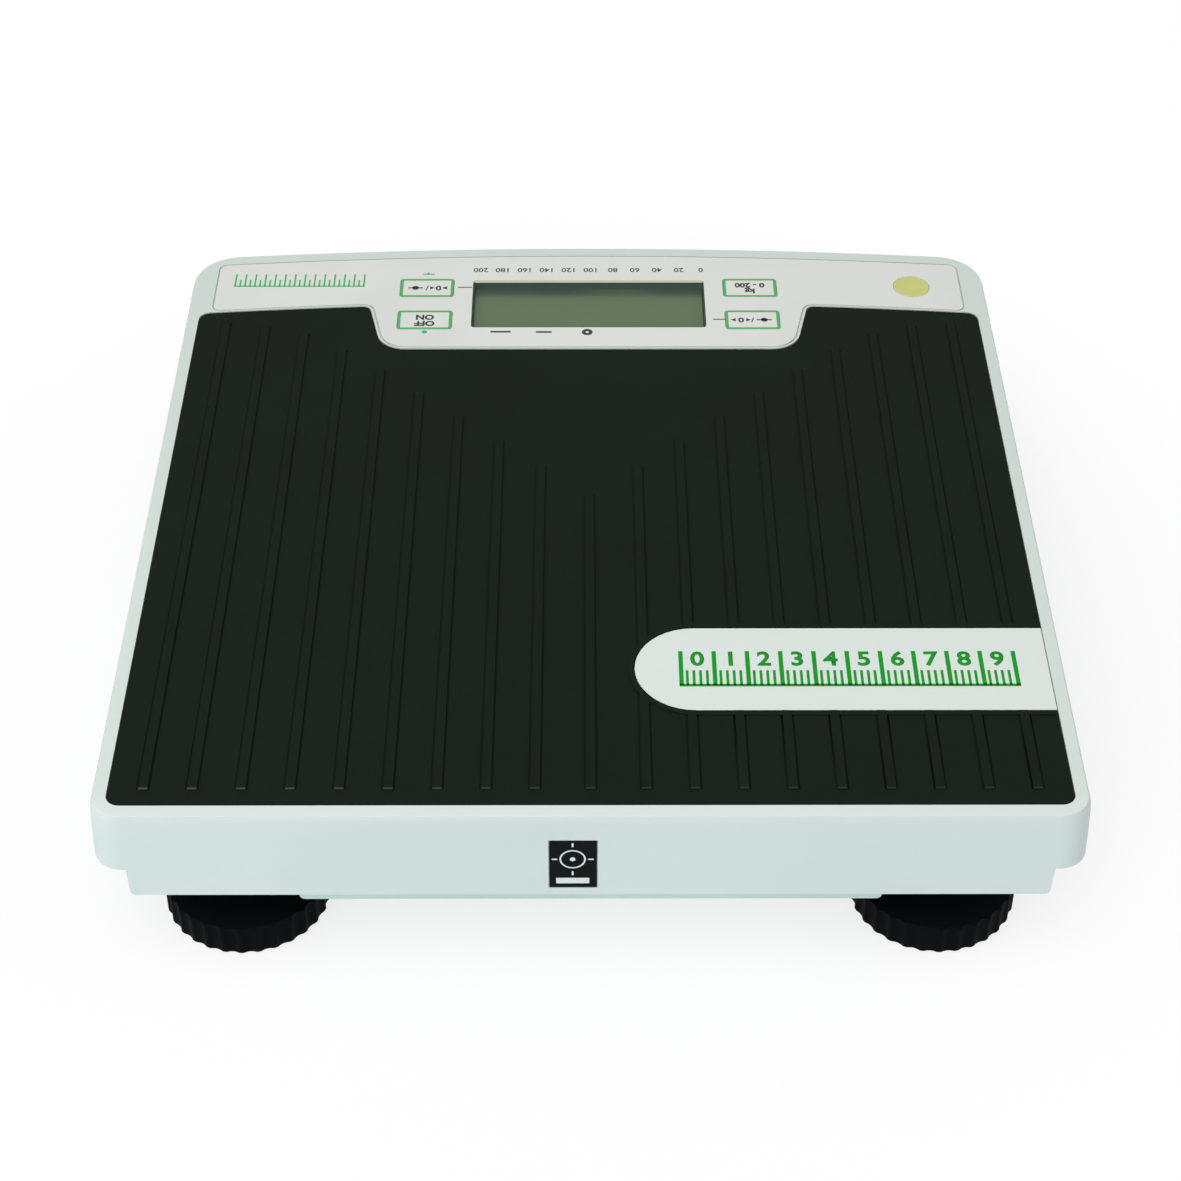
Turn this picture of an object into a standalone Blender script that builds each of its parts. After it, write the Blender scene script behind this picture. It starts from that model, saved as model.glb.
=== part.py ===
# Floor scale with a ribbed standing mat, a display band with four keys and four screw feet.
# Metres, +Z up. +Y runs from the front face to the display, +X to the right of it.
# The origin lies on the floor, below the middle of the housing.

import math

import bmesh
import bpy
from mathutils import Matrix, Vector

# Shared fits
FIT_GAP = 0.0003
CUT_OVERRUN = 0.002

# Housing seen from above
BODY_WIDTH = 0.320
BODY_DEPTH = 0.3256
REAR_ARC_RADIUS = 1.7
FRONT_CORNER_RADIUS = 0.010
REAR_CORNER_RADIUS = 0.018

# Levels, from the floor up
PAD_STANDOFF = 0.001
WHEEL_THICKNESS = 0.0115
WHEEL_TO_STRIP = 0.0126
STRIP_DROP = 0.0027
TRAY_HEIGHT = 0.012
COVER_HEIGHT = 0.0247

# Top cover
COVER_WALL = 0.0026
COVER_TOP = 0.0055
RIM_ROUND = 0.0013
SIDE_TUCK = 0.009
SIDE_FLARE = 0.0022
SIDE_SWELL_SHARE = 0.35
SIDE_RING_SHARE = 1.5
LEDGE_ROUND = 0.0016
SIDE_DRAFT = 0.0005
LOWER_ROUND = 0.0018
BOSS_RADIUS = 0.004
BOSS_SIDE_GAP = 0.003
BOSS_FRONT_INSET = 0.0618
BOSS_REAR_INSET = 0.0638
BOSS_BORE_DEPTH = 0.012

# Lower tray with its central strip
TRAY_WALL = 0.0025
TRAY_FLOOR = 0.0025
TRAY_NEST = 0.004
STRIP_FOOT_REACH = 0.021
STRIP_SETBACK = 0.0006
STRIP_REAR_SETBACK = 0.005
STRIP_ROUND = 0.0018
FOOT_PORT_RADIUS = 0.009

# Standing mat
MAT_SIDE_RIM = 0.0045
MAT_FRONT_RIM = 0.00525
MAT_REAR_BAND = 0.0392
MAT_THICKNESS = 0.002
MAT_SINK = 0.0003
MAT_CORNER_RADIUS = 0.0045
NOTCH_KEY_GAP = 0.0059
NOTCH_FLARE = 0.0063
NOTCH_FRONT_MARGIN = 0.013575
NOTCH_MOUTH_RADIUS = 0.003
NOTCH_FLOOR_RADIUS = 0.012
RIB_WIDTH = 0.003
RIB_HEIGHT = 0.0005
RIB_FIRST = 0.018
RIB_SIDE_MARGIN = 0.01126
RIB_MARGIN = 0.007
RIB_CENTRE_SHARE = 0.563
RIB_REACH_SHARES = (0.623, 0.676, 0.731, 0.784, 0.839, 0.884, 0.923, 0.943, 0.949)

# Capsule plate let into the mat
BADGE_NEAR_REACH = 0.04895
BADGE_WIDTH = 0.0408
BADGE_START = 0.015
BADGE_LIP = 0.0023
BADGE_LIP_HEIGHT = 0.0004
BADGE_LIP_SETBACK = 0.0003

# Printed overlay of the display band
OVERLAY_THICKNESS = 0.0005
OVERLAY_MAT_GAP = 0.0013
OVERLAY_SIDE_RIM = 0.009
OVERLAY_REAR_RIM = 0.0055
OVERLAY_CORNER_RADIUS = 0.0035
OVERLAY_NEAR_RADIUS = 0.003

# Display
WINDOW_LENGTH = 0.093
WINDOW_WIDTH = 0.032
WINDOW_REAR_REACH = 0.0399
WINDOW_RADIUS = 0.001
FILM_THICKNESS = 0.0004
LCD_SINK = 0.0036
LCD_FRAME_WALL = 0.002

# Keys
KEY_LENGTH = 0.0212
KEY_WIDTH = 0.0124
KEY_RADIUS = 0.0012
KEY_SIDE_GAP = 0.0084
KEY_ROW_PITCH = 0.02255
KEY_THICKNESS = 0.001
KEY_TRAVEL = 0.0004
KEY_STEM_RADIUS = 0.0025
KEY_REST_GAP = 0.0002
CONTACT_RADIUS = 0.0022
CONTACT_HEIGHT = 0.0007

# Bubble level
LEVEL_RADIUS = 0.007
LEVEL_SIDE_REACH = 0.0288
LEVEL_REAR_REACH = 0.02785
LEVEL_DROP = 0.001
LEVEL_CUP_WALL = 0.0012
LEVEL_CUP_FLOOR = 0.0022

# Electronics
BOARD_KEY_MARGIN = 0.0059
BOARD_WIDTH = 0.054
BOARD_REAR_REACH = 0.0108
BOARD_THICKNESS = 0.0016
BOARD_CORNER_RADIUS = 0.002
BOARD_PIN_INSET = 0.004
CHIP_HEIGHT = 0.0016
SOCKET_LENGTH = 0.008
SOCKET_DEPTH = 0.006
SOCKET_HEIGHT = 0.006
SOCKET_PITCH = 0.016
SOCKET_INSET = 0.003

# Front label
LABEL_WIDTH = 0.0154
LABEL_HEIGHT = 0.0218
LABEL_THICKNESS = 0.0003
LABEL_SHIFT = -0.00575
LABEL_LIFT = 0.0035

# Platform plate under the cover
PLATE_THICKNESS = 0.0025
PLATE_BOSS_GAP = 0.003
PLATE_FRONT_INSET = 0.0128
PLATE_REAR_INSET = 0.0148
PLATE_BOARD_SIDE_GAP = 0.010
PLATE_BOARD_NEAR_GAP = 0.008
PLATE_CORNER_RADIUS = 0.005
PLATE_PIN_REACH = 0.045
PLATE_PIN_FRONT_INSET = 0.079
PLATE_PIN_REAR_INSET = 0.021
PIN_RADIUS = 0.0015
PIN_STANDOUT = 0.001

# Load cells
CELL_LENGTH = 0.070
CELL_WIDTH = 0.022
CELL_HEIGHT = 0.014
CELL_FOOT_INSET = 0.011
CELL_FLOOR_GAP = 0.0065
CELL_SEAT_LENGTH = 0.026
CELL_BOLT_RADIUS = 0.004
CELL_BOLT_HEAD_RADIUS = 0.0065
CELL_BOLT_HEAD = 0.0045
CELL_FLEX_RADIUS = 0.0045
CELL_FLEX_PITCH = 0.012
CELL_FLEX_SLOT = 0.003
CELL_SEAT_STEP = 0.0003

# Feet
FOOT_SIDE_INSET = 0.0435
FOOT_FRONT_INSET = 0.02595
FOOT_REAR_INSET = 0.0328
WHEEL_RADIUS = 0.028
FLUTE_DEPTH = 0.0009
FLUTE_COUNT = 30
PAD_RADIUS = 0.022
PAD_RECESS = 0.003
PAD_PIN_RADIUS = 0.004
PAD_PIN_HEIGHT = 0.0025
PAD_ROUND = 0.0005
STUD_RADIUS = 0.005
STUD_SEAT = 0.0045
STUD_STANDOUT = 0.0013
STUD_TIP = 0.0006
BUSH_FLANGE_RADIUS = 0.010
BUSH_FLANGE_HEIGHT = 0.0027
BUSH_RADIUS = 0.0072
BUSH_HEIGHT = 0.009

# Batteries and their compartment
BATTERY_COUNT = 4
BATTERY_RADIUS = 0.00715
BATTERY_LENGTH = 0.0495
BATTERY_NUB_RADIUS = 0.0027
BATTERY_NUB_HEIGHT = 0.001
BATTERY_ROUND = 0.0005
BATTERY_GAP = 0.0007
BATTERY_CONTACT = 0.0006
BATTERY_SPRING_LENGTH = 0.0075
SPRING_WIRE_RADIUS = 0.0003
SPRING_RADIUS = 0.0028
SPRING_TURNS = 3
BAY_SIDE_GAP = 0.0011
BAY_WALL = 0.0015
BAY_CORNER_RADIUS = 0.002
DOOR_THICKNESS = 0.0025
DOOR_LEDGE = 0.0025
DOOR_CORNER_RADIUS = 0.003
DOOR_GRIP_RADIUS = 0.010
DOOR_GRIP_DEPTH = 0.001
DOOR_GRIP_INSET = 0.006

# Screws
SCREW_RADIUS = 0.0015
SCREW_HEAD_RADIUS = 0.0028
SCREW_HEAD = 0.0018
SCREW_BITE = 0.0095

# Leads
LEAD_RADIUS = 0.0015
BATTERY_LEAD_RADIUS = 0.001

# Facets
CORNER_STEPS = 10
SMALL_STEPS = 2
SIDE_RINGS = 5
ARC_STEPS = 14
MAT_ARC_STEPS = 5
ROUND_STEPS = 24
COARSE_ROUND_STEPS = 12
FINE_ROUND_STEPS = 32
FLUTE_STEPS = 3
LEAD_STEPS = 2
SPRING_STEPS = 6
MERGE_DISTANCE = 0.000002
SHARP_ANGLE = math.radians(35)

# Colours, with roughness and metallic value
HOUSING_WHITE = ((0.69, 0.74, 0.74), 0.38, 0.0)
TRAY_WHITE = ((0.66, 0.71, 0.71), 0.45, 0.0)
OVERLAY_WHITE = ((0.76, 0.76, 0.75), 0.5, 0.0)
MAT_BLACK = ((0.011, 0.014, 0.011), 0.75, 0.0)
FOOT_BLACK = ((0.006, 0.007, 0.007), 0.5, 0.0)
LABEL_BLACK = ((0.008, 0.008, 0.008), 0.35, 0.0)
KEY_WHITE = ((0.74, 0.76, 0.73), 0.45, 0.0)
LCD_GREEN = ((0.13, 0.18, 0.105), 0.2, 0.0)
FILM_CLEAR = ((0.85, 0.88, 0.85), 0.1, 0.0)
LEVEL_YELLOW = ((0.66, 0.61, 0.24), 0.15, 0.0)
CUP_WHITE = ((0.7, 0.7, 0.68), 0.5, 0.0)
BOARD_GREEN = ((0.02, 0.12, 0.05), 0.5, 0.0)
CHIP_BLACK = ((0.02, 0.02, 0.022), 0.5, 0.0)
STEEL = ((0.56, 0.57, 0.58), 0.35, 1.0)
ZINC = ((0.62, 0.62, 0.6), 0.3, 1.0)
ALUMINIUM = ((0.72, 0.73, 0.74), 0.4, 1.0)
BRASS = ((0.75, 0.55, 0.25), 0.35, 1.0)
RUBBER = ((0.014, 0.014, 0.014), 0.8, 0.0)
BATTERY_JACKET = ((0.05, 0.07, 0.12), 0.35, 0.0)
LEAD_GREY = ((0.18, 0.18, 0.19), 0.55, 0.0)
LEAD_RED = ((0.35, 0.02, 0.02), 0.5, 0.0)

# Places that follow from the sizes
half_width = BODY_WIDTH / 2
wheel_standout = max(WHEEL_RADIUS - FOOT_FRONT_INSET, 0)
front_y = (wheel_standout - BODY_DEPTH) / 2
rear_y = front_y + BODY_DEPTH
arc_centre_y = rear_y - REAR_ARC_RADIUS
ledge_x = half_width + SIDE_FLARE
waist_x = half_width - SIDE_TUCK
tray_inner_x = waist_x - SIDE_DRAFT - TRAY_WALL
boss_x = tray_inner_x - BOSS_RADIUS - BOSS_SIDE_GAP
foot_x = half_width - FOOT_SIDE_INSET
strip_half_width = foot_x - STRIP_FOOT_REACH
strip_z = PAD_STANDOFF + WHEEL_THICKNESS + WHEEL_TO_STRIP
tray_z = strip_z + STRIP_DROP
tray_top_z = tray_z + TRAY_FLOOR
step_z = tray_z + TRAY_HEIGHT
rim_z = step_z + COVER_HEIGHT
cover_under_z = rim_z - COVER_TOP
mat_top_z = rim_z - MAT_SINK
mat_seat_z = mat_top_z - MAT_THICKNESS - FIT_GAP
mat_front_y = front_y + MAT_FRONT_RIM
mat_side_x = half_width - MAT_SIDE_RIM
mat_length = BODY_DEPTH - MAT_FRONT_RIM - MAT_REAR_BAND
rib_pitch = (mat_side_x - RIB_SIDE_MARGIN - RIB_FIRST) / (len(RIB_REACH_SHARES) - 1)
badge_y = front_y + BADGE_NEAR_REACH + BADGE_WIDTH / 2
overlay_seat_z = rim_z - OVERLAY_THICKNESS - FIT_GAP
window_y = rear_y - WINDOW_REAR_REACH
key_x = (WINDOW_LENGTH + KEY_LENGTH) / 2 + KEY_SIDE_GAP
key_end_x = key_x + KEY_LENGTH / 2
notch_floor_x = key_end_x + NOTCH_KEY_GAP
notch_mouth_x = notch_floor_x + NOTCH_FLARE
notch_y = window_y - (KEY_ROW_PITCH + KEY_WIDTH) / 2 - NOTCH_FRONT_MARGIN
board_top_z = cover_under_z - FIT_GAP
board_low_z = board_top_z - BOARD_THICKNESS
board_y = rear_y - BOARD_REAR_REACH - BOARD_WIDTH / 2
board_half_length = key_end_x + BOARD_KEY_MARGIN
key_stem_z = board_top_z + CONTACT_HEIGHT + KEY_TRAVEL + KEY_REST_GAP
key_pocket_z = rim_z - KEY_THICKNESS - KEY_TRAVEL - FIT_GAP
level_x = half_width - LEVEL_SIDE_REACH
level_y = rear_y - LEVEL_REAR_REACH
level_low_z = cover_under_z - LEVEL_DROP
plate_top_z = cover_under_z - FIT_GAP
plate_low_z = plate_top_z - PLATE_THICKNESS
plate_half_width = boss_x - BOSS_RADIUS - PLATE_BOSS_GAP
plate_notch_x = board_half_length + PLATE_BOARD_SIDE_GAP
plate_notch_y = board_y - BOARD_WIDTH / 2 - PLATE_BOARD_NEAR_GAP
cell_low_z = tray_top_z + CELL_FLOOR_GAP
cell_top_z = cell_low_z + CELL_HEIGHT
cell_seat_height = plate_low_z - FIT_GAP - cell_top_z
wheel_top_z = PAD_STANDOFF + WHEEL_THICKNESS
stud_low_z = wheel_top_z - STUD_SEAT + FIT_GAP
flange_top_z = cell_low_z - FIT_GAP
bush_top_z = flange_top_z + BUSH_HEIGHT
door_top_z = strip_z + DOOR_THICKNESS
battery_z = door_top_z + FIT_GAP + BATTERY_RADIUS
battery_pitch = BATTERY_RADIUS * 2 + BATTERY_GAP
bay_half_width = battery_pitch * (BATTERY_COUNT - 1) / 2 + BATTERY_RADIUS + BAY_SIDE_GAP
battery_reach = BATTERY_LENGTH + BATTERY_NUB_HEIGHT
bay_half_length = (battery_reach + BATTERY_SPRING_LENGTH) / 2 + BATTERY_CONTACT + FIT_GAP
battery_far = bay_half_length - BATTERY_CONTACT - FIT_GAP * 2
bay_roof_z = battery_z + BATTERY_RADIUS + FIT_GAP
door_half_width = bay_half_width + DOOR_LEDGE
door_half_length = bay_half_length + DOOR_LEDGE
foot_places = {
    "front_left": (-foot_x, front_y + FOOT_FRONT_INSET, 1),
    "front_right": (foot_x, front_y + FOOT_FRONT_INSET, 1),
    "rear_left": (-foot_x, rear_y - FOOT_REAR_INSET, -1),
    "rear_right": (foot_x, rear_y - FOOT_REAR_INSET, -1),
}


# Scene and collections

def clear_scene():
    for item in list(bpy.data.objects):
        bpy.data.objects.remove(item, do_unlink=True)


def new_collection(name):
    group = bpy.data.collections.new(name)
    bpy.context.scene.collection.children.link(group)
    return group


clear_scene()
parts = new_collection("floor_scale")
cutters = new_collection("floor_scale_cutters")


# Objects, finishes and Booleans

def add_object(name, mesh, place=(0, 0, 0), turn=(0, 0, 0)):
    item = bpy.data.objects.new(name, mesh)
    item.location = place
    item.rotation_euler = turn
    parts.objects.link(item)
    return item


def as_cutter(item):
    for group in item.users_collection:
        group.objects.unlink(item)
    cutters.objects.link(item)
    item.hide_render = True
    item.display_type = "WIRE"
    return item


def combine(item, other, operation):
    as_cutter(other)
    step = item.modifiers.new(other.name, "BOOLEAN")
    step.operation = operation
    step.solver = "EXACT"
    step.object = other
    return item


def cut(item, other):
    return combine(item, other, "DIFFERENCE")


def join(item, other):
    return combine(item, other, "UNION")


def keep(item, other):
    return combine(item, other, "INTERSECT")


def round_edges(item, width, segments=2):
    step = item.modifiers.new("round", "BEVEL")
    step.width = width
    step.segments = segments
    step.limit_method = "ANGLE"
    step.angle_limit = SHARP_ANGLE
    return item


def finish(item, look):
    colour, roughness, metallic = look
    material = bpy.data.materials.new(item.name + "_finish")
    material.use_nodes = True
    shader = material.node_tree.nodes["Principled BSDF"]
    shader.inputs["Base Color"].default_value = (*colour, 1)
    shader.inputs["Roughness"].default_value = roughness
    shader.inputs["Metallic"].default_value = metallic
    item.data.materials.clear()
    item.data.materials.append(material)
    return item


def evaluated_mesh(item):
    bpy.context.view_layer.update()
    graph = bpy.context.evaluated_depsgraph_get()
    mesh = bpy.data.meshes.new_from_object(item.evaluated_get(graph))
    solid = bmesh.new()
    solid.from_mesh(mesh)
    bmesh.ops.remove_doubles(solid, verts=solid.verts, dist=MERGE_DISTANCE)
    bmesh.ops.recalc_face_normals(solid, faces=solid.faces)
    solid.to_mesh(mesh)
    solid.free()
    return mesh


def settle(item):
    # the modifiers become the mesh, and the origin stays where it is
    mesh = evaluated_mesh(item)
    item.modifiers.clear()
    item.data = mesh
    return item


def smooth(item):
    item.data.shade_smooth()
    item.data.set_sharp_from_angle(angle=SHARP_ANGLE)
    return item


# Outlines

def arc(centre, radius, start, end, steps):
    points = []
    for index in range(steps + 1):
        angle = start + (end - start) * index / steps
        points.append((centre[0] + radius * math.cos(angle), centre[1] + radius * math.sin(angle)))
    return points


def rounded(corners, steps=CORNER_STEPS):
    # corners are x, y and a radius; each sharp corner becomes an arc
    points = []
    count = len(corners)
    for index, (x, y, radius) in enumerate(corners):
        here = Vector((x, y))
        before = Vector(corners[index - 1][:2]) - here
        after = Vector(corners[(index + 1) % count][:2]) - here
        if radius <= 0:
            points.append((x, y))
            continue
        half_angle = before.angle(after) / 2
        reach = radius / math.tan(half_angle)
        start = here + before.normalized() * reach
        end = here + after.normalized() * reach
        halfway = (before.normalized() + after.normalized()).normalized()
        centre = here + halfway * radius / math.sin(half_angle)
        first = start - centre
        last = end - centre
        sweep = math.atan2(first.x * last.y - first.y * last.x, first.dot(last))
        angle = math.atan2(first.y, first.x)
        points.extend(arc(centre, radius, angle, angle + sweep, steps))
    return points


def rounded_box(centre_x, centre_y, length, width, radius, steps=SMALL_STEPS):
    x = length / 2
    y = width / 2
    return rounded([
        (centre_x - x, centre_y - y, radius),
        (centre_x + x, centre_y - y, radius),
        (centre_x + x, centre_y + y, radius),
        (centre_x - x, centre_y + y, radius),
    ], steps)


def circle(centre, radius, steps=ROUND_STEPS):
    return arc(centre, radius, 0, 2 * math.pi, steps)[:-1]


def plan_outline(inset):
    corner_x = half_width - REAR_CORNER_RADIUS
    reach = REAR_ARC_RADIUS - REAR_CORNER_RADIUS
    corner_y = arc_centre_y + math.sqrt(reach ** 2 - corner_x ** 2)
    turn = math.atan2(corner_y - arc_centre_y, corner_x)
    near_x = half_width - FRONT_CORNER_RADIUS
    near_y = front_y + FRONT_CORNER_RADIUS
    near = FRONT_CORNER_RADIUS - inset
    far = REAR_CORNER_RADIUS - inset
    rear = REAR_ARC_RADIUS - inset
    points = arc((near_x, near_y), near, -math.pi / 2, 0, CORNER_STEPS)
    points += arc((corner_x, corner_y), far, 0, turn, CORNER_STEPS)
    points += arc((0, arc_centre_y), rear, turn, math.pi - turn, ARC_STEPS)[1:-1]
    points += arc((-corner_x, corner_y), far, math.pi - turn, math.pi, CORNER_STEPS)
    points += arc((-near_x, near_y), near, math.pi, 3 * math.pi / 2, CORNER_STEPS)
    return points


def band_arc(radius, from_x, to_x, steps=MAT_ARC_STEPS):
    # an arc round the same centre as the rear edge
    start = math.acos(from_x / radius)
    end = math.acos(to_x / radius)
    return arc((0, arc_centre_y), radius, start, end, steps)


def with_radius(points, first, last):
    # the ends of a run of points get a corner radius, the points between stay sharp
    corners = [(x, y, 0) for x, y in points]
    corners[0] = (*points[0], first)
    corners[-1] = (*points[-1], last)
    return corners


def mat_outline(inset):
    side = mat_side_x - inset
    radius = REAR_ARC_RADIUS - MAT_REAR_BAND - inset
    corner = MAT_CORNER_RADIUS - inset
    mouth = NOTCH_MOUTH_RADIUS - inset
    right = band_arc(radius, side, notch_mouth_x + inset)
    left = band_arc(radius, -notch_mouth_x - inset, -side)
    corners = [(-side, mat_front_y + inset, corner), (side, mat_front_y + inset, corner)]
    corners += with_radius(right, corner, mouth)
    corners.append((notch_floor_x + inset, notch_y - inset, NOTCH_FLOOR_RADIUS + inset))
    corners.append((-notch_floor_x - inset, notch_y - inset, NOTCH_FLOOR_RADIUS + inset))
    corners += with_radius(left, mouth, corner)
    return rounded(corners)


def overlay_outline(inset):
    gap = OVERLAY_MAT_GAP + inset
    side = half_width - OVERLAY_SIDE_RIM - inset
    near = REAR_ARC_RADIUS - MAT_REAR_BAND + gap
    far = REAR_ARC_RADIUS - OVERLAY_REAR_RIM - inset
    corner = OVERLAY_NEAR_RADIUS - inset
    mouth = NOTCH_MOUTH_RADIUS + gap
    floor = NOTCH_FLOOR_RADIUS - gap
    rear = band_arc(far, side, -side, ARC_STEPS)
    left = band_arc(near, -side, gap - notch_mouth_x)
    right = band_arc(near, notch_mouth_x - gap, side)
    corners = with_radius(left, corner, mouth)
    corners.append((gap - notch_floor_x, notch_y + gap, floor))
    corners.append((notch_floor_x - gap, notch_y + gap, floor))
    corners += with_radius(right, mouth, corner)
    corners += with_radius(rear, OVERLAY_CORNER_RADIUS - inset, OVERLAY_CORNER_RADIUS - inset)
    return rounded(corners)


def section_outline():
    # the housing seen from the front: the sides end in a rounded ledge above the tray
    right = [(ledge_x, rim_z + CUT_OVERRUN)]
    right += arc((ledge_x - LEDGE_ROUND, step_z + LEDGE_ROUND), LEDGE_ROUND, 0, -math.pi / 2, SMALL_STEPS)
    right.append((waist_x, step_z))
    right.append((waist_x - SIDE_DRAFT, tray_z))
    left = [(-x, z) for x, z in reversed(right)]
    return rounded(with_radius(left + right, LOWER_ROUND, LOWER_ROUND))


def hollow_outline():
    # the same view of the space inside the cover
    lip = waist_x + FIT_GAP
    wide = half_width - COVER_WALL + CUT_OVERRUN
    ledge_top_z = step_z + COVER_WALL
    right = [(wide, cover_under_z), (wide, ledge_top_z), (lip, ledge_top_z), (lip, step_z)]
    right.append((waist_x + CUT_OVERRUN, step_z))
    right.append((waist_x + CUT_OVERRUN, tray_z - CUT_OVERRUN))
    left = [(-x, z) for x, z in reversed(right)]
    return right + left


def capsule_outline(grow, end_x):
    # round at its left end, square at the right
    radius = BADGE_WIDTH / 2
    centre = (BADGE_START + radius, badge_y)
    points = arc(centre, radius + grow, math.pi / 2, 3 * math.pi / 2, CORNER_STEPS * 2)
    points.append((end_x, badge_y - radius - grow))
    points.append((end_x, badge_y + radius + grow))
    return points


def fluted_outline():
    points = []
    count = FLUTE_COUNT * FLUTE_STEPS
    for index in range(count):
        angle = 2 * math.pi * index / count
        dip = math.sqrt(abs(math.sin(FLUTE_COUNT * angle / 2)))
        radius = WHEEL_RADIUS - FLUTE_DEPTH * dip
        points.append((radius * math.sin(angle), -radius * math.cos(angle)))
    return points


# Solids

def prism(name, outlines, low, high, turn=(0, 0, 0), place=None):
    # a flat outline, with any holes, as thick as the two levels are apart
    curve = bpy.data.curves.new(name, "CURVE")
    curve.dimensions = "2D"
    curve.fill_mode = "BOTH"
    curve.extrude = (high - low) / 2
    for outline in outlines:
        spline = curve.splines.new("POLY")
        spline.points.add(len(outline) - 1)
        for point, (x, y) in zip(spline.points, outline):
            point.co = (x, y, 0, 1)
        spline.use_cyclic_u = True
    sketch = add_object(name + "_sketch", curve)
    mesh = evaluated_mesh(sketch)
    bpy.data.objects.remove(sketch, do_unlink=True)
    bpy.data.curves.remove(curve)
    return add_object(name, mesh, place or (0, 0, (low + high) / 2), turn)


def cross_prism(name, outline, near, far):
    # an outline drawn in x and z, run along y
    return prism(name, [outline], near, far, (math.pi / 2, 0, 0), (0, (near + far) / 2, 0))


def block(name, centre, size):
    solid = bmesh.new()
    bmesh.ops.create_cube(solid, size=1, matrix=Matrix.Diagonal((*size, 1)))
    mesh = bpy.data.meshes.new(name)
    solid.to_mesh(mesh)
    solid.free()
    return add_object(name, mesh, centre)


def rod(name, centre, radius, length, turn=(0, 0, 0), steps=ROUND_STEPS):
    solid = bmesh.new()
    bmesh.ops.create_cone(
        solid, cap_ends=True, segments=steps, radius1=radius, radius2=radius, depth=length)
    mesh = bpy.data.meshes.new(name)
    solid.to_mesh(mesh)
    solid.free()
    return add_object(name, mesh, centre, turn)


def upright(name, x, y, radius, low, high, steps=ROUND_STEPS):
    return rod(name, (x, y, (low + high) / 2), radius, high - low, steps=steps)


def turned(name, profile, place=(0, 0, 0), steps=ROUND_STEPS):
    # profile points are radius and height, down the outer side
    mesh = bpy.data.meshes.new(name)
    points = [(radius, 0, height) for radius, height in profile]
    edges = [(index, index + 1) for index in range(len(points) - 1)]
    mesh.from_pydata(points, edges, [])
    item = add_object(name, mesh, place)
    step = item.modifiers.new("turn", "SCREW")
    step.steps = steps
    step.render_steps = steps
    step.use_merge_vertices = True
    step.merge_threshold = MERGE_DISTANCE
    return settle(item)


def screw_profile(length, radius=SCREW_RADIUS, head_radius=SCREW_HEAD_RADIUS, head=SCREW_HEAD):
    # the shank stands up from the head's upper face at height zero
    return [(0, length), (radius, length), (radius, 0), (head_radius, 0), (head_radius, -head), (0, -head)]


def smooth_route(points, steps, lowest):
    # a curve through the route's own points that lies on whatever is below it
    padded = [2 * Vector(points[0]) - Vector(points[1])]
    padded += [Vector(point) for point in points]
    padded.append(2 * Vector(points[-1]) - Vector(points[-2]))
    route = []
    for index in range(1, len(padded) - 2):
        a, b, c, d = padded[index - 1:index + 3]
        for step in range(steps):
            t = step / steps
            route.append((2 * b + (c - a) * t + (2 * a - 5 * b + 4 * c - d) * t ** 2
                          + (3 * b - a - 3 * c + d) * t ** 3) / 2)
    route.append(Vector(points[-1]))
    for point in route:
        point.z = max(point.z, lowest)
    return route


def tube(name, route, radius, resolution=1):
    curve = bpy.data.curves.new(name, "CURVE")
    curve.dimensions = "3D"
    curve.bevel_depth = radius
    curve.bevel_resolution = resolution
    curve.use_fill_caps = True
    spline = curve.splines.new("POLY")
    spline.points.add(len(route) - 1)
    for point, place in zip(spline.points, route):
        point.co = (*place, 1)
    sketch = add_object(name + "_sketch", curve)
    mesh = evaluated_mesh(sketch)
    bpy.data.objects.remove(sketch, do_unlink=True)
    bpy.data.curves.remove(curve)
    return smooth(add_object(name, mesh))


# Housing

def boss_places():
    rows = {"front": front_y + BOSS_FRONT_INSET, "rear": rear_y - BOSS_REAR_INSET}
    sides = {"left": -boss_x, "right": boss_x}
    return {f"{row}_{side}": (x, y) for row, y in rows.items() for side, x in sides.items()}


def key_places():
    rows = {"near": window_y - KEY_ROW_PITCH / 2, "far": window_y + KEY_ROW_PITCH / 2}
    sides = {"left": -key_x, "right": key_x}
    return {f"{side}_{row}": (x, y) for side, x in sides.items() for row, y in rows.items()}


def window_outline(grow):
    return rounded_box(0, window_y, WINDOW_LENGTH + grow * 2, WINDOW_WIDTH + grow * 2, WINDOW_RADIUS + grow)


def key_outline(x, y, grow):
    return rounded_box(x, y, KEY_LENGTH + grow * 2, KEY_WIDTH + grow * 2, KEY_RADIUS + grow)


def board_pin_places():
    x = board_half_length - BOARD_PIN_INSET
    y = BOARD_WIDTH / 2 - BOARD_PIN_INSET
    return [(sx * x, board_y + sy * y) for sx in (-1, 1) for sy in (-1, 1)]


def plate_pin_places():
    near = front_y + PLATE_FRONT_INSET + PLATE_PIN_FRONT_INSET
    far = plate_notch_y - PLATE_PIN_REAR_INSET
    return [(side * PLATE_PIN_REACH, y) for side in (-1, 1) for y in (near, far)]


def label_centre():
    return front_y, tray_z + LABEL_LIFT + LABEL_HEIGHT / 2


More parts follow.
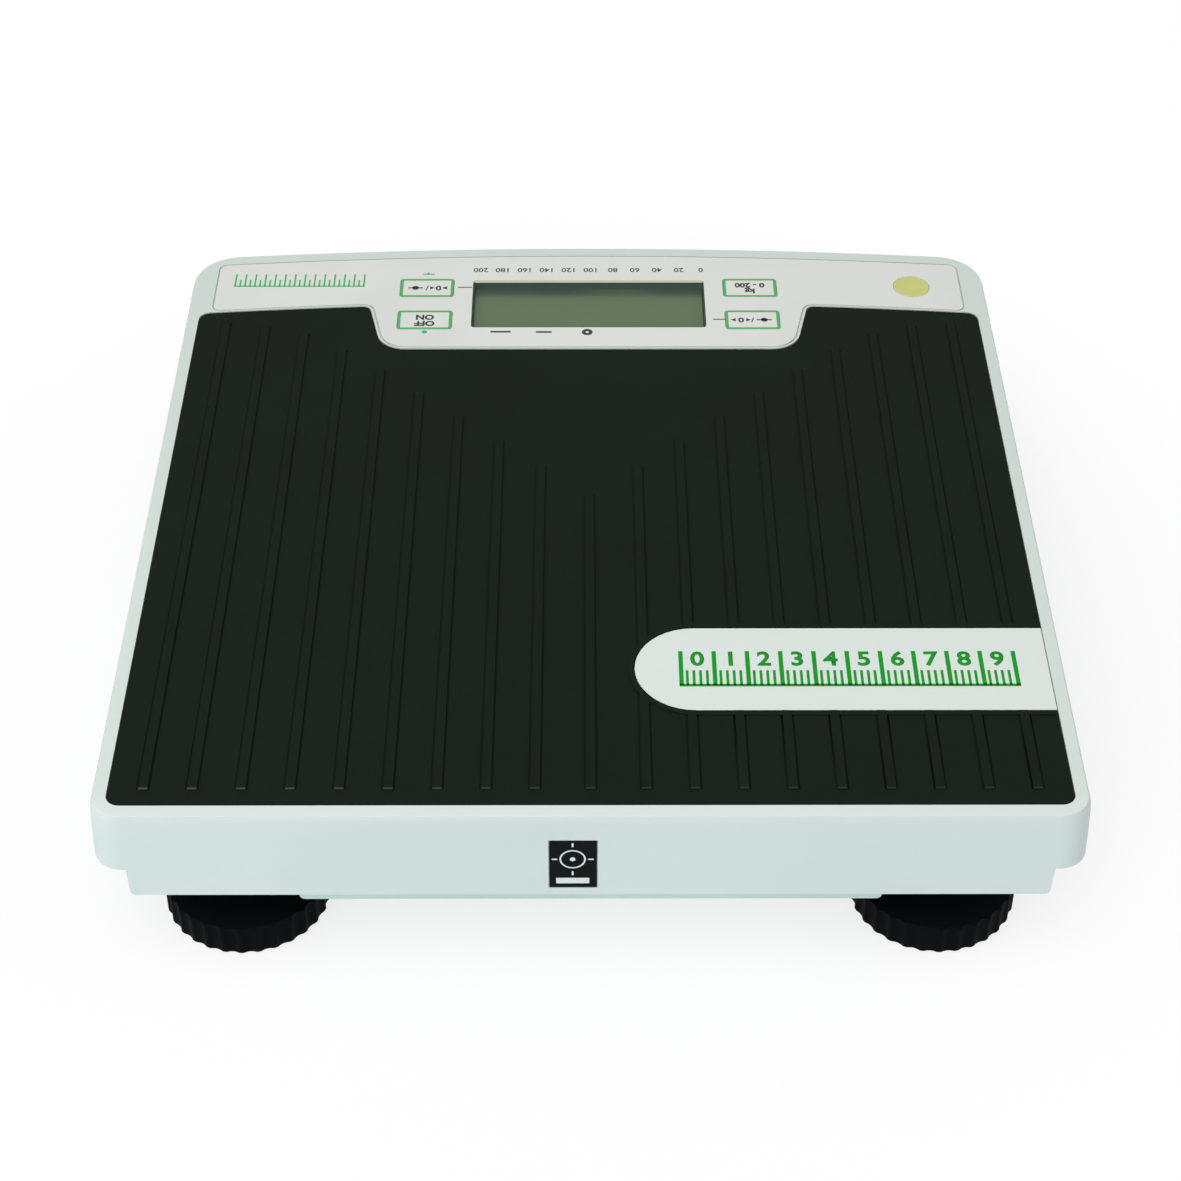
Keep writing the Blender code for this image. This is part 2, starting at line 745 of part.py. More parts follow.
def swell_sides(item):
    # the sides swell out from the rim, fast at first, down to the ledge
    mesh = bmesh.new()
    mesh.from_mesh(item.data)
    top = rim_z - item.location.z
    for ring in range(SIDE_RINGS):
        depth = COVER_HEIGHT * ((ring + 1) / SIDE_RINGS) ** SIDE_RING_SHARE
        everything = mesh.verts[:] + mesh.edges[:] + mesh.faces[:]
        bmesh.ops.bisect_plane(mesh, geom=everything, plane_co=(0, 0, top - depth), plane_no=(0, 0, 1))
    for vertex in mesh.verts:
        below = max((top - vertex.co.z) / COVER_HEIGHT, 0)
        vertex.co.x *= 1 + SIDE_FLARE / half_width * below ** SIDE_SWELL_SHARE
    walls = [face for face in mesh.faces if abs(face.normal.z) < 0.5]
    bmesh.ops.triangulate(mesh, faces=walls)
    mesh.to_mesh(item.data)
    mesh.free()


def make_top_cover():
    cover = prism("top_cover", [plan_outline(0)], tray_z - CUT_OVERRUN, rim_z)
    swell_sides(cover)
    round_edges(cover, RIM_ROUND, 3)
    keep(cover, cross_prism("cover_section", section_outline(), front_y - CUT_OVERRUN, rear_y + CUT_OVERRUN))
    hollow = prism("cover_hollow", [plan_outline(COVER_WALL)], tray_z - CUT_OVERRUN * 2, rim_z)
    keep(hollow, cross_prism("cover_inner_section", hollow_outline(), front_y, rear_y))
    cut(cover, hollow)
    bosses = prism(
        "cover_bosses", [circle(place, BOSS_RADIUS, COARSE_ROUND_STEPS) for place in boss_places().values()],
        tray_top_z + FIT_GAP, cover_under_z + FIT_GAP)
    join(cover, bosses)
    bore = SCREW_RADIUS + FIT_GAP
    bore_low = tray_z - CUT_OVERRUN
    cut(cover, prism(
        "cover_boss_bores", [circle(place, bore, COARSE_ROUND_STEPS) for place in boss_places().values()],
        bore_low, tray_top_z + FIT_GAP + BOSS_BORE_DEPTH))
    cut(cover, prism("cover_mat_seat", [mat_outline(-FIT_GAP)], mat_seat_z, rim_z + CUT_OVERRUN))
    cut(cover, prism("cover_overlay_seat", [overlay_outline(-FIT_GAP)], overlay_seat_z, rim_z + CUT_OVERRUN))
    frame_gap = LCD_FRAME_WALL + FIT_GAP
    through_low = cover_under_z - CUT_OVERRUN
    ports = [window_outline(frame_gap), circle((level_x, level_y), LEVEL_RADIUS + FIT_GAP)]
    cut(cover, prism("cover_ports", ports, through_low, rim_z + CUT_OVERRUN))
    pockets = [key_outline(x, y, FIT_GAP) for x, y in key_places().values()]
    cut(cover, prism("cover_key_pockets", pockets, key_pocket_z, rim_z + CUT_OVERRUN))
    stem_bore = KEY_STEM_RADIUS + FIT_GAP
    stems = [circle(place, stem_bore, COARSE_ROUND_STEPS) for place in key_places().values()]
    cut(cover, prism("cover_key_holes", stems, through_low, key_pocket_z + FIT_GAP))
    pin_root = cover_under_z + FIT_GAP
    join(cover, prism(
        "cover_board_pins", [circle(place, PIN_RADIUS, COARSE_ROUND_STEPS) for place in board_pin_places()],
        board_low_z - PIN_STANDOUT, pin_root))
    join(cover, prism(
        "cover_plate_pins", [circle(place, PIN_RADIUS, COARSE_ROUND_STEPS) for place in plate_pin_places()],
        plate_low_z - PIN_STANDOUT, pin_root))
    label_y, label_z = label_centre()
    seat = LABEL_THICKNESS + FIT_GAP
    cut(cover, block(
        "cover_label_seat", (LABEL_SHIFT, label_y + (seat - CUT_OVERRUN) / 2, label_z),
        (LABEL_WIDTH + FIT_GAP * 2, seat + CUT_OVERRUN, LABEL_HEIGHT + FIT_GAP * 2)))
    settle(cover)
    return finish(smooth(cover), HOUSING_WHITE)


def make_base_tray():
    outer = COVER_WALL + FIT_GAP
    top = step_z + TRAY_NEST
    tray = prism("base_tray", [plan_outline(outer)], tray_z - CUT_OVERRUN, top)
    right = [(waist_x, top + CUT_OVERRUN), (waist_x, step_z), (waist_x - SIDE_DRAFT, tray_z)]
    left = [(-x, z) for x, z in reversed(right)]
    sides = rounded(with_radius(left + right, LOWER_ROUND, LOWER_ROUND))
    keep(tray, cross_prism("tray_section", sides, front_y, rear_y))
    hollow = prism("tray_hollow", [plan_outline(outer + TRAY_WALL)], tray_top_z, top + CUT_OVERRUN)
    keep(hollow, block(
        "tray_hollow_width", (0, 0, (tray_top_z + top) / 2),
        (tray_inner_x * 2, BODY_DEPTH, top - tray_top_z + CUT_OVERRUN * 3)))
    cut(tray, hollow)
    half = strip_half_width
    strip_top = tray_z - FIT_GAP
    strip = rounded([
        (-half, strip_z, STRIP_ROUND), (half, strip_z, STRIP_ROUND),
        (half, strip_top, 0), (-half, strip_top, 0)])
    join(tray, cross_prism("tray_strip", strip, front_y + STRIP_SETBACK, rear_y - STRIP_REAR_SETBACK))
    neck_near = front_y + outer
    neck_far = rear_y - STRIP_REAR_SETBACK - outer
    neck_low = strip_top - FIT_GAP
    neck_high = tray_z + FIT_GAP
    join(tray, block(
        "tray_strip_neck", (0, (neck_near + neck_far) / 2, (neck_low + neck_high) / 2),
        (half * 2, neck_far - neck_near, neck_high - neck_low)))
    ports = [circle((x, y), FOOT_PORT_RADIUS) for x, y, _ in foot_places.values()]
    ports += [circle(place, SCREW_RADIUS + FIT_GAP, COARSE_ROUND_STEPS) for place in boss_places().values()]
    cut(tray, prism("tray_ports", ports, strip_z - CUT_OVERRUN, tray_top_z + CUT_OVERRUN))
    door = rounded_box(
        0, 0, (door_half_width + FIT_GAP) * 2, (door_half_length + FIT_GAP) * 2, DOOR_CORNER_RADIUS + FIT_GAP)
    cut(tray, prism("tray_door_seat", [door], strip_z - CUT_OVERRUN, door_top_z + FIT_GAP))
    mouth = rounded_box(0, 0, bay_half_width * 2, bay_half_length * 2, BAY_CORNER_RADIUS)
    cut(tray, prism("tray_battery_mouth", [mouth], strip_z, tray_top_z + CUT_OVERRUN))
    settle(tray)
    return finish(smooth(tray), TRAY_WHITE)


def make_platform_mat():
    mat = prism("platform_mat", [mat_outline(0)], mat_top_z - MAT_THICKNESS, mat_top_z)
    low = mat_top_z - MAT_THICKNESS / 2
    high = mat_top_z + RIB_HEIGHT
    near = mat_front_y + RIB_MARGIN
    ribs = []
    spots = [(0, RIB_CENTRE_SHARE)]
    for index, share in enumerate(RIB_REACH_SHARES):
        x = RIB_FIRST + rib_pitch * index
        spots += [(-x, share), (x, share)]
    for x, share in spots:
        far = mat_front_y + mat_length * share
        left = x - RIB_WIDTH / 2
        right = x + RIB_WIDTH / 2
        ribs.append([(left, near), (right, near), (right, far), (left, far)])
    join(mat, prism("mat_ribs", ribs, low, high))
    lip = capsule_outline(BADGE_LIP, mat_side_x - BADGE_LIP_SETBACK)
    join(mat, prism("mat_badge_lip", [lip], low - FIT_GAP, mat_top_z + BADGE_LIP_HEIGHT))
    hole = capsule_outline(FIT_GAP, half_width)
    cut(mat, prism("mat_badge_hole", [hole], mat_seat_z - CUT_OVERRUN, high + CUT_OVERRUN))
    settle(mat)
    return finish(smooth(mat), MAT_BLACK)


def make_badge_plate():
    plate = prism("badge_plate", [capsule_outline(0, mat_side_x)], mat_seat_z + FIT_GAP, rim_z)
    return finish(smooth(plate), OVERLAY_WHITE)


def make_front_label():
    label_y, label_z = label_centre()
    label = block(
        "front_label", (LABEL_SHIFT, label_y + LABEL_THICKNESS / 2, label_z),
        (LABEL_WIDTH, LABEL_THICKNESS, LABEL_HEIGHT))
    return finish(label, LABEL_BLACK)


# Display band

def make_overlay():
    outlines = [overlay_outline(0), window_outline(FIT_GAP)]
    outlines += [key_outline(x, y, FIT_GAP) for x, y in key_places().values()]
    outlines.append(circle((level_x, level_y), LEVEL_RADIUS + FIT_GAP))
    sheet = prism("keypad_overlay", outlines, rim_z - OVERLAY_THICKNESS, rim_z)
    return finish(smooth(sheet), OVERLAY_WHITE)


def make_display():
    film = prism("display_window", [window_outline(0)], rim_z - FILM_THICKNESS, rim_z)
    finish(film, FILM_CLEAR)
    frame_low = board_top_z + FIT_GAP
    frame = prism(
        "lcd_frame", [window_outline(LCD_FRAME_WALL), window_outline(0)], frame_low, overlay_seat_z)
    finish(frame, LABEL_BLACK)
    lcd = prism("lcd_panel", [window_outline(-FIT_GAP)], frame_low, rim_z - LCD_SINK)
    finish(lcd, LCD_GREEN)


def make_keys():
    cap = prism("key_cap", [key_outline(0, 0, 0)], -KEY_THICKNESS, 0)
    stem_low = key_stem_z - rim_z
    join(cap, upright(
        "key_stem", 0, 0, KEY_STEM_RADIUS, stem_low, -KEY_THICKNESS / 2, COARSE_ROUND_STEPS))
    mesh = evaluated_mesh(cap)
    mesh.transform(Matrix.Translation((0, 0, -KEY_THICKNESS / 2)))
    bpy.data.objects.remove(cap, do_unlink=True)
    for name, (x, y) in key_places().items():
        finish(add_object(f"key_{name}", mesh.copy(), (x, y, rim_z)), KEY_WHITE)
    bpy.data.meshes.remove(mesh)


def make_bubble_level():
    vial = upright(
        "level_vial", level_x, level_y, LEVEL_RADIUS, level_low_z, rim_z, FINE_ROUND_STEPS)
    finish(smooth(vial), LEVEL_YELLOW)
    bore = LEVEL_RADIUS + FIT_GAP
    outer = bore + LEVEL_CUP_WALL
    high = cover_under_z - FIT_GAP
    seat = level_low_z - FIT_GAP
    low = seat - LEVEL_CUP_FLOOR
    cup = turned("level_cup", [
        (0, seat), (bore, seat), (bore, high), (outer, high), (outer, low), (0, low)],
        (level_x, level_y, 0))
    finish(smooth(cup), CUP_WHITE)


def socket_places():
    near = board_y - BOARD_WIDTH / 2 + SOCKET_INSET + SOCKET_DEPTH / 2
    return [(step * SOCKET_PITCH, near) for step in (-2, -1, 0, 1, 2)]


def make_main_board():
    # sockets and chips hang below the board, the key contacts stand on it
    bore = PIN_RADIUS + FIT_GAP
    outlines = [rounded_box(0, board_y, board_half_length * 2, BOARD_WIDTH, BOARD_CORNER_RADIUS)]
    outlines += [circle(place, bore, COARSE_ROUND_STEPS) for place in board_pin_places()]
    board = prism("main_board", outlines, board_low_z, board_top_z)
    root = (board_low_z + board_top_z) / 2
    sockets = [rounded_box(x, y, SOCKET_LENGTH, SOCKET_DEPTH, 0) for x, y in socket_places()]
    join(board, prism("board_sockets", sockets, board_low_z - SOCKET_HEIGHT, root))
    chips = [
        rounded_box(x, board_y, SOCKET_PITCH * share, SOCKET_PITCH * share, 0)
        for x, share in ((-SOCKET_PITCH * 2, 1 / 2), (0, 1), (SOCKET_PITCH * 2, 2 / 3))]
    join(board, prism("board_chips", chips, board_low_z - CHIP_HEIGHT, root))
    contacts = [circle(place, CONTACT_RADIUS, COARSE_ROUND_STEPS) for place in key_places().values()]
    join(board, prism("board_contacts", contacts, root, board_top_z + CONTACT_HEIGHT))
    settle(board)
    finish(board, BOARD_GREEN)


# Load path

def make_platform_plate():
    x = plate_half_width
    notch = plate_notch_x
    near = front_y + PLATE_FRONT_INSET
    far = rear_y - PLATE_REAR_INSET
    inner = plate_notch_y
    radius = PLATE_CORNER_RADIUS
    outline = rounded([
        (-x, near, radius), (x, near, radius), (x, far, radius), (notch, far, radius),
        (notch, inner, radius), (-notch, inner, radius), (-notch, far, radius), (-x, far, radius)])
    holes = [circle(place, PIN_RADIUS + FIT_GAP, COARSE_ROUND_STEPS) for place in plate_pin_places()]
    bolt_bore = CELL_BOLT_RADIUS + FIT_GAP
    holes += [circle(place, bolt_bore, COARSE_ROUND_STEPS) for place in cell_bolt_places().values()]
    plate = prism("platform_plate", [outline] + holes, plate_low_z, plate_top_z)
    clear = LEVEL_RADIUS + LEVEL_CUP_WALL + FIT_GAP * 4
    cut(plate, upright(
        "plate_level_clearance", level_x, level_y, clear,
        plate_low_z - CUT_OVERRUN, plate_top_z + CUT_OVERRUN))
    settle(plate)
    finish(plate, STEEL)


def cell_bolt_places():
    reach = CELL_LENGTH - CELL_FOOT_INSET - CELL_SEAT_LENGTH / 2
    return {name: (x, y + way * reach) for name, (x, y, way) in foot_places.items()}


def make_load_cells():
    # the foot's axis is at the origin, the bar runs along +y from it to its raised seat
    middle = CELL_LENGTH / 2 - CELL_FOOT_INSET
    seat = CELL_LENGTH - CELL_FOOT_INSET - CELL_SEAT_LENGTH / 2
    half = CELL_HEIGHT / 2
    bar = block("cell_bar", (0, middle, 0), (CELL_WIDTH, CELL_LENGTH, CELL_HEIGHT))
    seat_width = CELL_WIDTH - CELL_SEAT_STEP * 2
    seat_length = CELL_SEAT_LENGTH - CELL_SEAT_STEP * 2
    join(bar, block(
        "cell_seat", (0, seat, cell_seat_height / 2),
        (seat_width, seat_length, CELL_HEIGHT + cell_seat_height)))
    tall = half + cell_seat_height + CUT_OVERRUN
    cut(bar, upright(
        "cell_foot_bore", 0, 0, BUSH_RADIUS + FIT_GAP, -tall, tall, COARSE_ROUND_STEPS))
    cut(bar, upright(
        "cell_bolt_bore", 0, seat, CELL_BOLT_RADIUS + FIT_GAP, -tall, tall, COARSE_ROUND_STEPS))
    across = CELL_WIDTH + CUT_OVERRUN * 2
    for side in (-1, 1):
        cut(bar, rod(
            "cell_flex_bore", (0, middle + side * CELL_FLEX_PITCH / 2, 0), CELL_FLEX_RADIUS, across,
            (0, math.pi / 2, 0), COARSE_ROUND_STEPS))
    cut(bar, block("cell_flex_slot", (0, middle, 0), (across, CELL_FLEX_PITCH, CELL_FLEX_SLOT)))
    mesh = evaluated_mesh(bar)
    mesh.transform(Matrix.Translation((0, middle, 0)))
    bpy.data.objects.remove(bar, do_unlink=True)
    for name, (x, y, way) in foot_places.items():
        turn = 0 if way > 0 else math.pi
        place = (x, y, cell_low_z + half)
        finish(add_object(f"load_cell_{name}", mesh.copy(), place, (0, 0, turn)), ALUMINIUM)
    bpy.data.meshes.remove(mesh)
    head_z = cell_low_z - FIT_GAP
    length = plate_top_z - FIT_GAP - head_z
    bolt = turned(
        "cell_bolt", screw_profile(length, CELL_BOLT_RADIUS, CELL_BOLT_HEAD_RADIUS, CELL_BOLT_HEAD),
        steps=COARSE_ROUND_STEPS)
    for name, (x, y) in cell_bolt_places().items():
        finish(smooth(add_object(f"cell_bolt_{name}", bolt.data.copy(), (x, y, head_z))), ZINC)
    bpy.data.objects.remove(bolt, do_unlink=True)


# Feet

def make_wheel_mesh():
    half = WHEEL_THICKNESS / 2
    wheel = prism("wheel", [fluted_outline()], -half, half)
    cut(wheel, upright(
        "wheel_pad_recess", 0, 0, PAD_RADIUS + FIT_GAP, -half - CUT_OVERRUN, -half + PAD_RECESS))
    pin_top = -half + PAD_RECESS + PAD_PIN_HEIGHT
    cut(wheel, upright("wheel_pin_bore", 0, 0, PAD_PIN_RADIUS + FIT_GAP, -half, pin_top))
    cut(wheel, upright(
        "wheel_stud_bore", 0, 0, STUD_RADIUS + FIT_GAP, half - STUD_SEAT, half + CUT_OVERRUN))
    bpy.context.view_layer.update()
    mesh = evaluated_mesh(wheel)
    bpy.data.objects.remove(wheel, do_unlink=True)
    return mesh


def make_feet():
    wheel_mesh = make_wheel_mesh()
    wheel_z = PAD_STANDOFF + WHEEL_THICKNESS / 2
    pad_top = PAD_STANDOFF + PAD_RECESS - FIT_GAP
    pad = turned("pad", [
        (0, pad_top + PAD_PIN_HEIGHT), (PAD_PIN_RADIUS, pad_top + PAD_PIN_HEIGHT),
        (PAD_PIN_RADIUS, pad_top), (PAD_RADIUS, pad_top), (PAD_RADIUS, PAD_ROUND),
        (PAD_RADIUS - PAD_ROUND, 0), (0, 0)])
    length = bush_top_z + STUD_STANDOUT - stud_low_z
    stud = turned("stud", [
        (0, length), (STUD_RADIUS - STUD_TIP, length), (STUD_RADIUS, length - STUD_TIP),
        (STUD_RADIUS, 0), (0, 0)])
    bore = STUD_RADIUS + FIT_GAP
    flange_low_z = flange_top_z - BUSH_FLANGE_HEIGHT
    bush = turned("bush", [
        (bore, bush_top_z), (BUSH_RADIUS, bush_top_z), (BUSH_RADIUS, flange_top_z),
        (BUSH_FLANGE_RADIUS, flange_top_z), (BUSH_FLANGE_RADIUS, flange_low_z), (bore, flange_low_z),
        (bore, bush_top_z)], steps=COARSE_ROUND_STEPS)
    for name, (x, y, _) in foot_places.items():
        finish(smooth(add_object(f"foot_wheel_{name}", wheel_mesh.copy(), (x, y, wheel_z))), FOOT_BLACK)
        finish(smooth(add_object(f"foot_pad_{name}", pad.data.copy(), (x, y, 0))), RUBBER)
        finish(smooth(add_object(f"foot_stud_{name}", stud.data.copy(), (x, y, stud_low_z))), ZINC)
        finish(smooth(add_object(f"foot_bush_{name}", bush.data.copy(), (x, y, 0))), BRASS)
    for item in (pad, stud, bush):
        bpy.data.objects.remove(item, do_unlink=True)
    bpy.data.meshes.remove(wheel_mesh)


# Power

def battery_spots():
    # each battery is turned end for end from the one beside it
    start = -battery_pitch * (BATTERY_COUNT - 1) / 2
    return [(start + battery_pitch * index, 1 if index % 2 else -1) for index in range(BATTERY_COUNT)]


def make_batteries():
    battery = turned("battery", [
        (0, battery_reach), (BATTERY_NUB_RADIUS, battery_reach), (BATTERY_NUB_RADIUS, BATTERY_LENGTH),
        (BATTERY_RADIUS - BATTERY_ROUND, BATTERY_LENGTH), (BATTERY_RADIUS, BATTERY_LENGTH - BATTERY_ROUND),
        (BATTERY_RADIUS, BATTERY_ROUND), (BATTERY_RADIUS - BATTERY_ROUND, 0), (0, 0)],
        steps=COARSE_ROUND_STEPS)
    for index, (x, way) in enumerate(battery_spots()):
        place = (x, way * (battery_far - battery_reach), battery_z)
        turn = (-way * math.pi / 2, 0, 0)
        finish(smooth(add_object(f"battery_{index + 1}", battery.data.copy(), place, turn)), BATTERY_JACKET)
    bpy.data.objects.remove(battery, do_unlink=True)


def make_contact_strips():
    # the strip at each end carries a spring for every battery that turns its flat end there
    rise = battery_far - battery_reach + bay_half_length - BATTERY_CONTACT - FIT_GAP * 2
    route = []
    for index in range(SPRING_TURNS * SPRING_STEPS + 1):
        turn = index / SPRING_STEPS
        angle = 2 * math.pi * turn
        climb = (rise - SPRING_WIRE_RADIUS) * turn / SPRING_TURNS
        route.append(Vector((SPRING_RADIUS * math.cos(angle), SPRING_RADIUS * math.sin(angle), climb)))
    for name, end in (("front", -1), ("rear", 1)):
        seat = end * (bay_half_length - FIT_GAP)
        strip = block(
            f"contact_strip_{name}", (0, seat - end * BATTERY_CONTACT / 2, battery_z),
            ((bay_half_width - BAY_CORNER_RADIUS) * 2, BATTERY_CONTACT, BATTERY_RADIUS))
        for x, way in battery_spots():
            if way == end:
                continue
            spring = tube("contact_spring", route, SPRING_WIRE_RADIUS, 0)
            spring.rotation_euler = (end * math.pi / 2, 0, 0)
            spring.location = (x, seat - end * BATTERY_CONTACT, battery_z)
            join(strip, spring)
        settle(strip)
        finish(strip, STEEL)


def make_battery_box():
    low = tray_top_z + FIT_GAP
    high = bay_roof_z + BAY_WALL
    outer = rounded_box(
        0, 0, (bay_half_width + BAY_WALL) * 2, (bay_half_length + BAY_WALL) * 2, BAY_CORNER_RADIUS + BAY_WALL)
    box = prism("battery_box", [outer], low, high)
    inner = rounded_box(0, 0, bay_half_width * 2, bay_half_length * 2, BAY_CORNER_RADIUS)
    cut(box, prism("battery_box_hollow", [inner], low - CUT_OVERRUN, bay_roof_z))
    settle(box)
    finish(box, CHIP_BLACK)


def make_battery_door():
    # its origin is on the edge that it turns about
    half = door_half_length
    outline = rounded_box(0, -half, door_half_width * 2, half * 2, DOOR_CORNER_RADIUS)
    middle = DOOR_THICKNESS / 2
    door = prism("battery_door", [outline], -middle, middle)
    grip_y = -half * 2 + DOOR_GRIP_INSET
    cut(door, upright(
        "door_grip", 0, grip_y, DOOR_GRIP_RADIUS, -middle - CUT_OVERRUN, -middle + DOOR_GRIP_DEPTH))
    settle(door)
    door.data.transform(Matrix.Translation((0, 0, middle)))
    door.location = (0, half, strip_z)
    finish(door, TRAY_WHITE)


# Screws

def make_screws():
    screw = turned("cover_screw", screw_profile(TRAY_FLOOR + SCREW_BITE), steps=COARSE_ROUND_STEPS)
    for name, (x, y) in boss_places().items():
        place = (x, y, tray_z - FIT_GAP)
        finish(smooth(add_object(f"cover_screw_{name}", screw.data.copy(), place)), ZINC)
    bpy.data.objects.remove(screw, do_unlink=True)


# Leads

def make_leads():
    lie = tray_top_z + FIT_GAP + LEAD_RADIUS
    cell_z = (cell_top_z + cell_low_z) / 2
    socket_z = board_low_z - SOCKET_HEIGHT / 2
    sockets = socket_places()
    socket_face = sockets[0][1] - SOCKET_DEPTH / 2 - FIT_GAP
    lanes = {"front": 1, "rear": 2}
    for name, (x, y, way) in foot_places.items():
        side = 1 if x > 0 else -1
        row = name.split("_")[0]
        end_x = side * SOCKET_PITCH * lanes[row]
        start_y = y + way * (CELL_LENGTH - CELL_FOOT_INSET + FIT_GAP)
        lane_x = side * (bay_half_width + SOCKET_PITCH * lanes[row])
        run = CELL_HEIGHT
        route = [
            (x, start_y, cell_z),
            (x, start_y + way * run / 4, cell_z),
            (x, start_y + way * run / 2, cell_z),
            (x - side * run / 4, start_y + way * run * 3 / 2, (cell_z + lie) / 2),
            (lane_x, start_y + way * run * 5 / 2, lie),
        ]
        turn_y = plate_notch_y - run
        if row == "front":
            route.append((lane_x, (start_y + turn_y) / 2, lie))
            route.append((lane_x, turn_y - run, lie))
            route.append((lane_x - side * run / 2, turn_y, lie))
            route.append(((lane_x + end_x) / 2, turn_y + run / 4, (lie + socket_z) / 2))
        else:
            route.append((lane_x - side * run, turn_y - run * 2, (lie * 3 + socket_z) / 4))
        for step in (3, 2, 1, 0):
            route.append((end_x, socket_face - SOCKET_DEPTH / 2 * step, socket_z))
        finish(tube(f"cell_lead_{name}", smooth_route(route, LEAD_STEPS, lie), LEAD_RADIUS), LEAD_GREY)
    bay_y = bay_half_length + BAY_WALL + FIT_GAP
    bay_z = (tray_top_z + bay_roof_z) / 2
    route = [
        (0, bay_y, bay_z), (0, bay_y + SOCKET_DEPTH, bay_z),
        (0, (bay_y + socket_face) / 2, (bay_z + socket_z) / 2),
        (0, socket_face - SOCKET_DEPTH, socket_z), (0, socket_face, socket_z)]
    finish(tube("battery_lead", smooth_route(route, LEAD_STEPS, lie), BATTERY_LEAD_RADIUS), LEAD_RED)


make_top_cover()
make_base_tray()
make_platform_mat()
make_badge_plate()
make_front_label()
make_overlay()
make_display()
make_keys()
make_bubble_level()
make_main_board()
make_platform_plate()
make_load_cells()
make_feet()
make_batteries()
make_contact_strips()
make_battery_box()
make_battery_door()
make_screws()
make_leads()
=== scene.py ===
# Floor scale: the finish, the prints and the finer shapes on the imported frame
import math

import bpy
from mathutils import Matrix, Vector


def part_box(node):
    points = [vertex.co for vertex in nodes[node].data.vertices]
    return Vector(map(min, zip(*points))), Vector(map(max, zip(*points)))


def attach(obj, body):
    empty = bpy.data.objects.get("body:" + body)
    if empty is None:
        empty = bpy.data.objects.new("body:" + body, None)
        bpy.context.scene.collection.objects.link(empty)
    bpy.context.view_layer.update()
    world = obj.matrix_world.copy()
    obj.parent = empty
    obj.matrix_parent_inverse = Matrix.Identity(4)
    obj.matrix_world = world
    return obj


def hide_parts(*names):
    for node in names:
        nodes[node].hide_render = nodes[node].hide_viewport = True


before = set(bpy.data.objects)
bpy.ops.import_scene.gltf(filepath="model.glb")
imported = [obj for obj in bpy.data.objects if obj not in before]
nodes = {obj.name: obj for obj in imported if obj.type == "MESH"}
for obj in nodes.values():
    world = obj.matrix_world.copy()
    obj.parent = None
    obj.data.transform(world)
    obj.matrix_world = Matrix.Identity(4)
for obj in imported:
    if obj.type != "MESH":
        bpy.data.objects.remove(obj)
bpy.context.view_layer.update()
mm = 0.001
tiny = 0.01 * mm  # places nearer than this count as one
mergeGap = 0.002 * mm
flatTurn = math.radians(0.15)  # faces that turn less than this are made one
corners = ("front_left", "front_right", "rear_left", "rear_right")
keyNames = ("left_far", "left_near", "right_far", "right_near")


def middle(node):
    low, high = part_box(node)
    return (low + high) / 2


# Selecting and editing

def deselect():
    if bpy.context.view_layer.objects.active and bpy.context.mode != "OBJECT":
        bpy.ops.object.mode_set(mode="OBJECT")
    bpy.ops.object.select_all(action="DESELECT")


def focus(piece):
    deselect()
    piece.select_set(True)
    bpy.context.view_layer.objects.active = piece


def edit(piece, kind="FACE", everything=False):
    focus(piece)
    bpy.ops.object.mode_set(mode="EDIT")
    bpy.ops.mesh.select_mode(type=kind)
    bpy.ops.mesh.select_all(action="SELECT" if everything else "DESELECT")


def done():
    bpy.ops.object.mode_set(mode="OBJECT")


def pickFaces(piece, test):
    # test takes a face's centre and normal
    edit(piece)
    done()
    for face in piece.data.polygons:
        face.select = bool(test(face.center, face.normal))
    bpy.ops.object.mode_set(mode="EDIT")


def pickEdges(piece, test):
    # test takes the two ends of an edge
    edit(piece, "EDGE")
    done()
    points = piece.data.vertices
    for edge in piece.data.edges:
        a, b = (points[index].co for index in edge.vertices)
        edge.select = bool(test(a, b))
    bpy.ops.object.mode_set(mode="EDIT")


def pickCap(piece, way):
    # the flat end of a rod that stands on the origin, up for 1 and down for -1
    pickFaces(piece, lambda centre, normal: normal.z * way > 0.9 and math.hypot(centre.x, centre.y) < tiny)


def stepFace(inset, rise):
    # the picked face gets a border and its middle goes up or down
    bpy.ops.mesh.inset(thickness=inset)
    bpy.ops.mesh.extrude_region_move(TRANSFORM_OT_translate={"value": (0, 0, rise)})


def bevelRim(piece, height, width, segments):
    # rounds a rod's edge at one height
    pickEdges(piece, lambda a, b: abs(a.z - height) < tiny and abs(b.z - height) < tiny)
    bpy.ops.mesh.bevel(offset=width, segments=segments, affect="EDGES")
    done()


def modify(piece, kind, **settings):
    focus(piece)
    step = piece.modifiers.new(kind.lower(), kind)
    for name, value in settings.items():
        setattr(step, name, value)
    bpy.ops.object.modifier_apply(modifier=step.name)


def soften(piece, width, segments=2, angle=42):
    modify(piece, "BEVEL", width=width, segments=segments, limit_method="ANGLE",
           angle_limit=math.radians(angle), harden_normals=False)


def shade(piece, angle=35):
    # large faces keep their own normals beside small rounded ones
    focus(piece)
    bpy.ops.object.shade_smooth_by_angle(angle=math.radians(angle))
    modify(piece, "WEIGHTED_NORMAL", keep_sharp=True, weight=90)


def settle(piece):
    # the place goes into the mesh
    focus(piece)
    bpy.ops.object.transform_apply(location=True, rotation=True, scale=True)


def named(name):
    piece = bpy.context.object
    piece.name = name
    piece.data.name = name
    return piece


def weld(parts, name):
    deselect()
    for part in parts:
        part.select_set(True)
    bpy.context.view_layer.objects.active = parts[0]
    if len(parts) > 1:
        bpy.ops.object.join()
    return named(name)


def copyAt(piece, name, offset, turn=0.0):
    twin = piece.copy()
    twin.data = piece.data.copy()
    bpy.context.scene.collection.objects.link(twin)
    twin.name = name
    twin.data.name = name
    twin.data.transform(Matrix.Translation(offset) @ Matrix.Rotation(turn, 4, "Z"))
    return twin


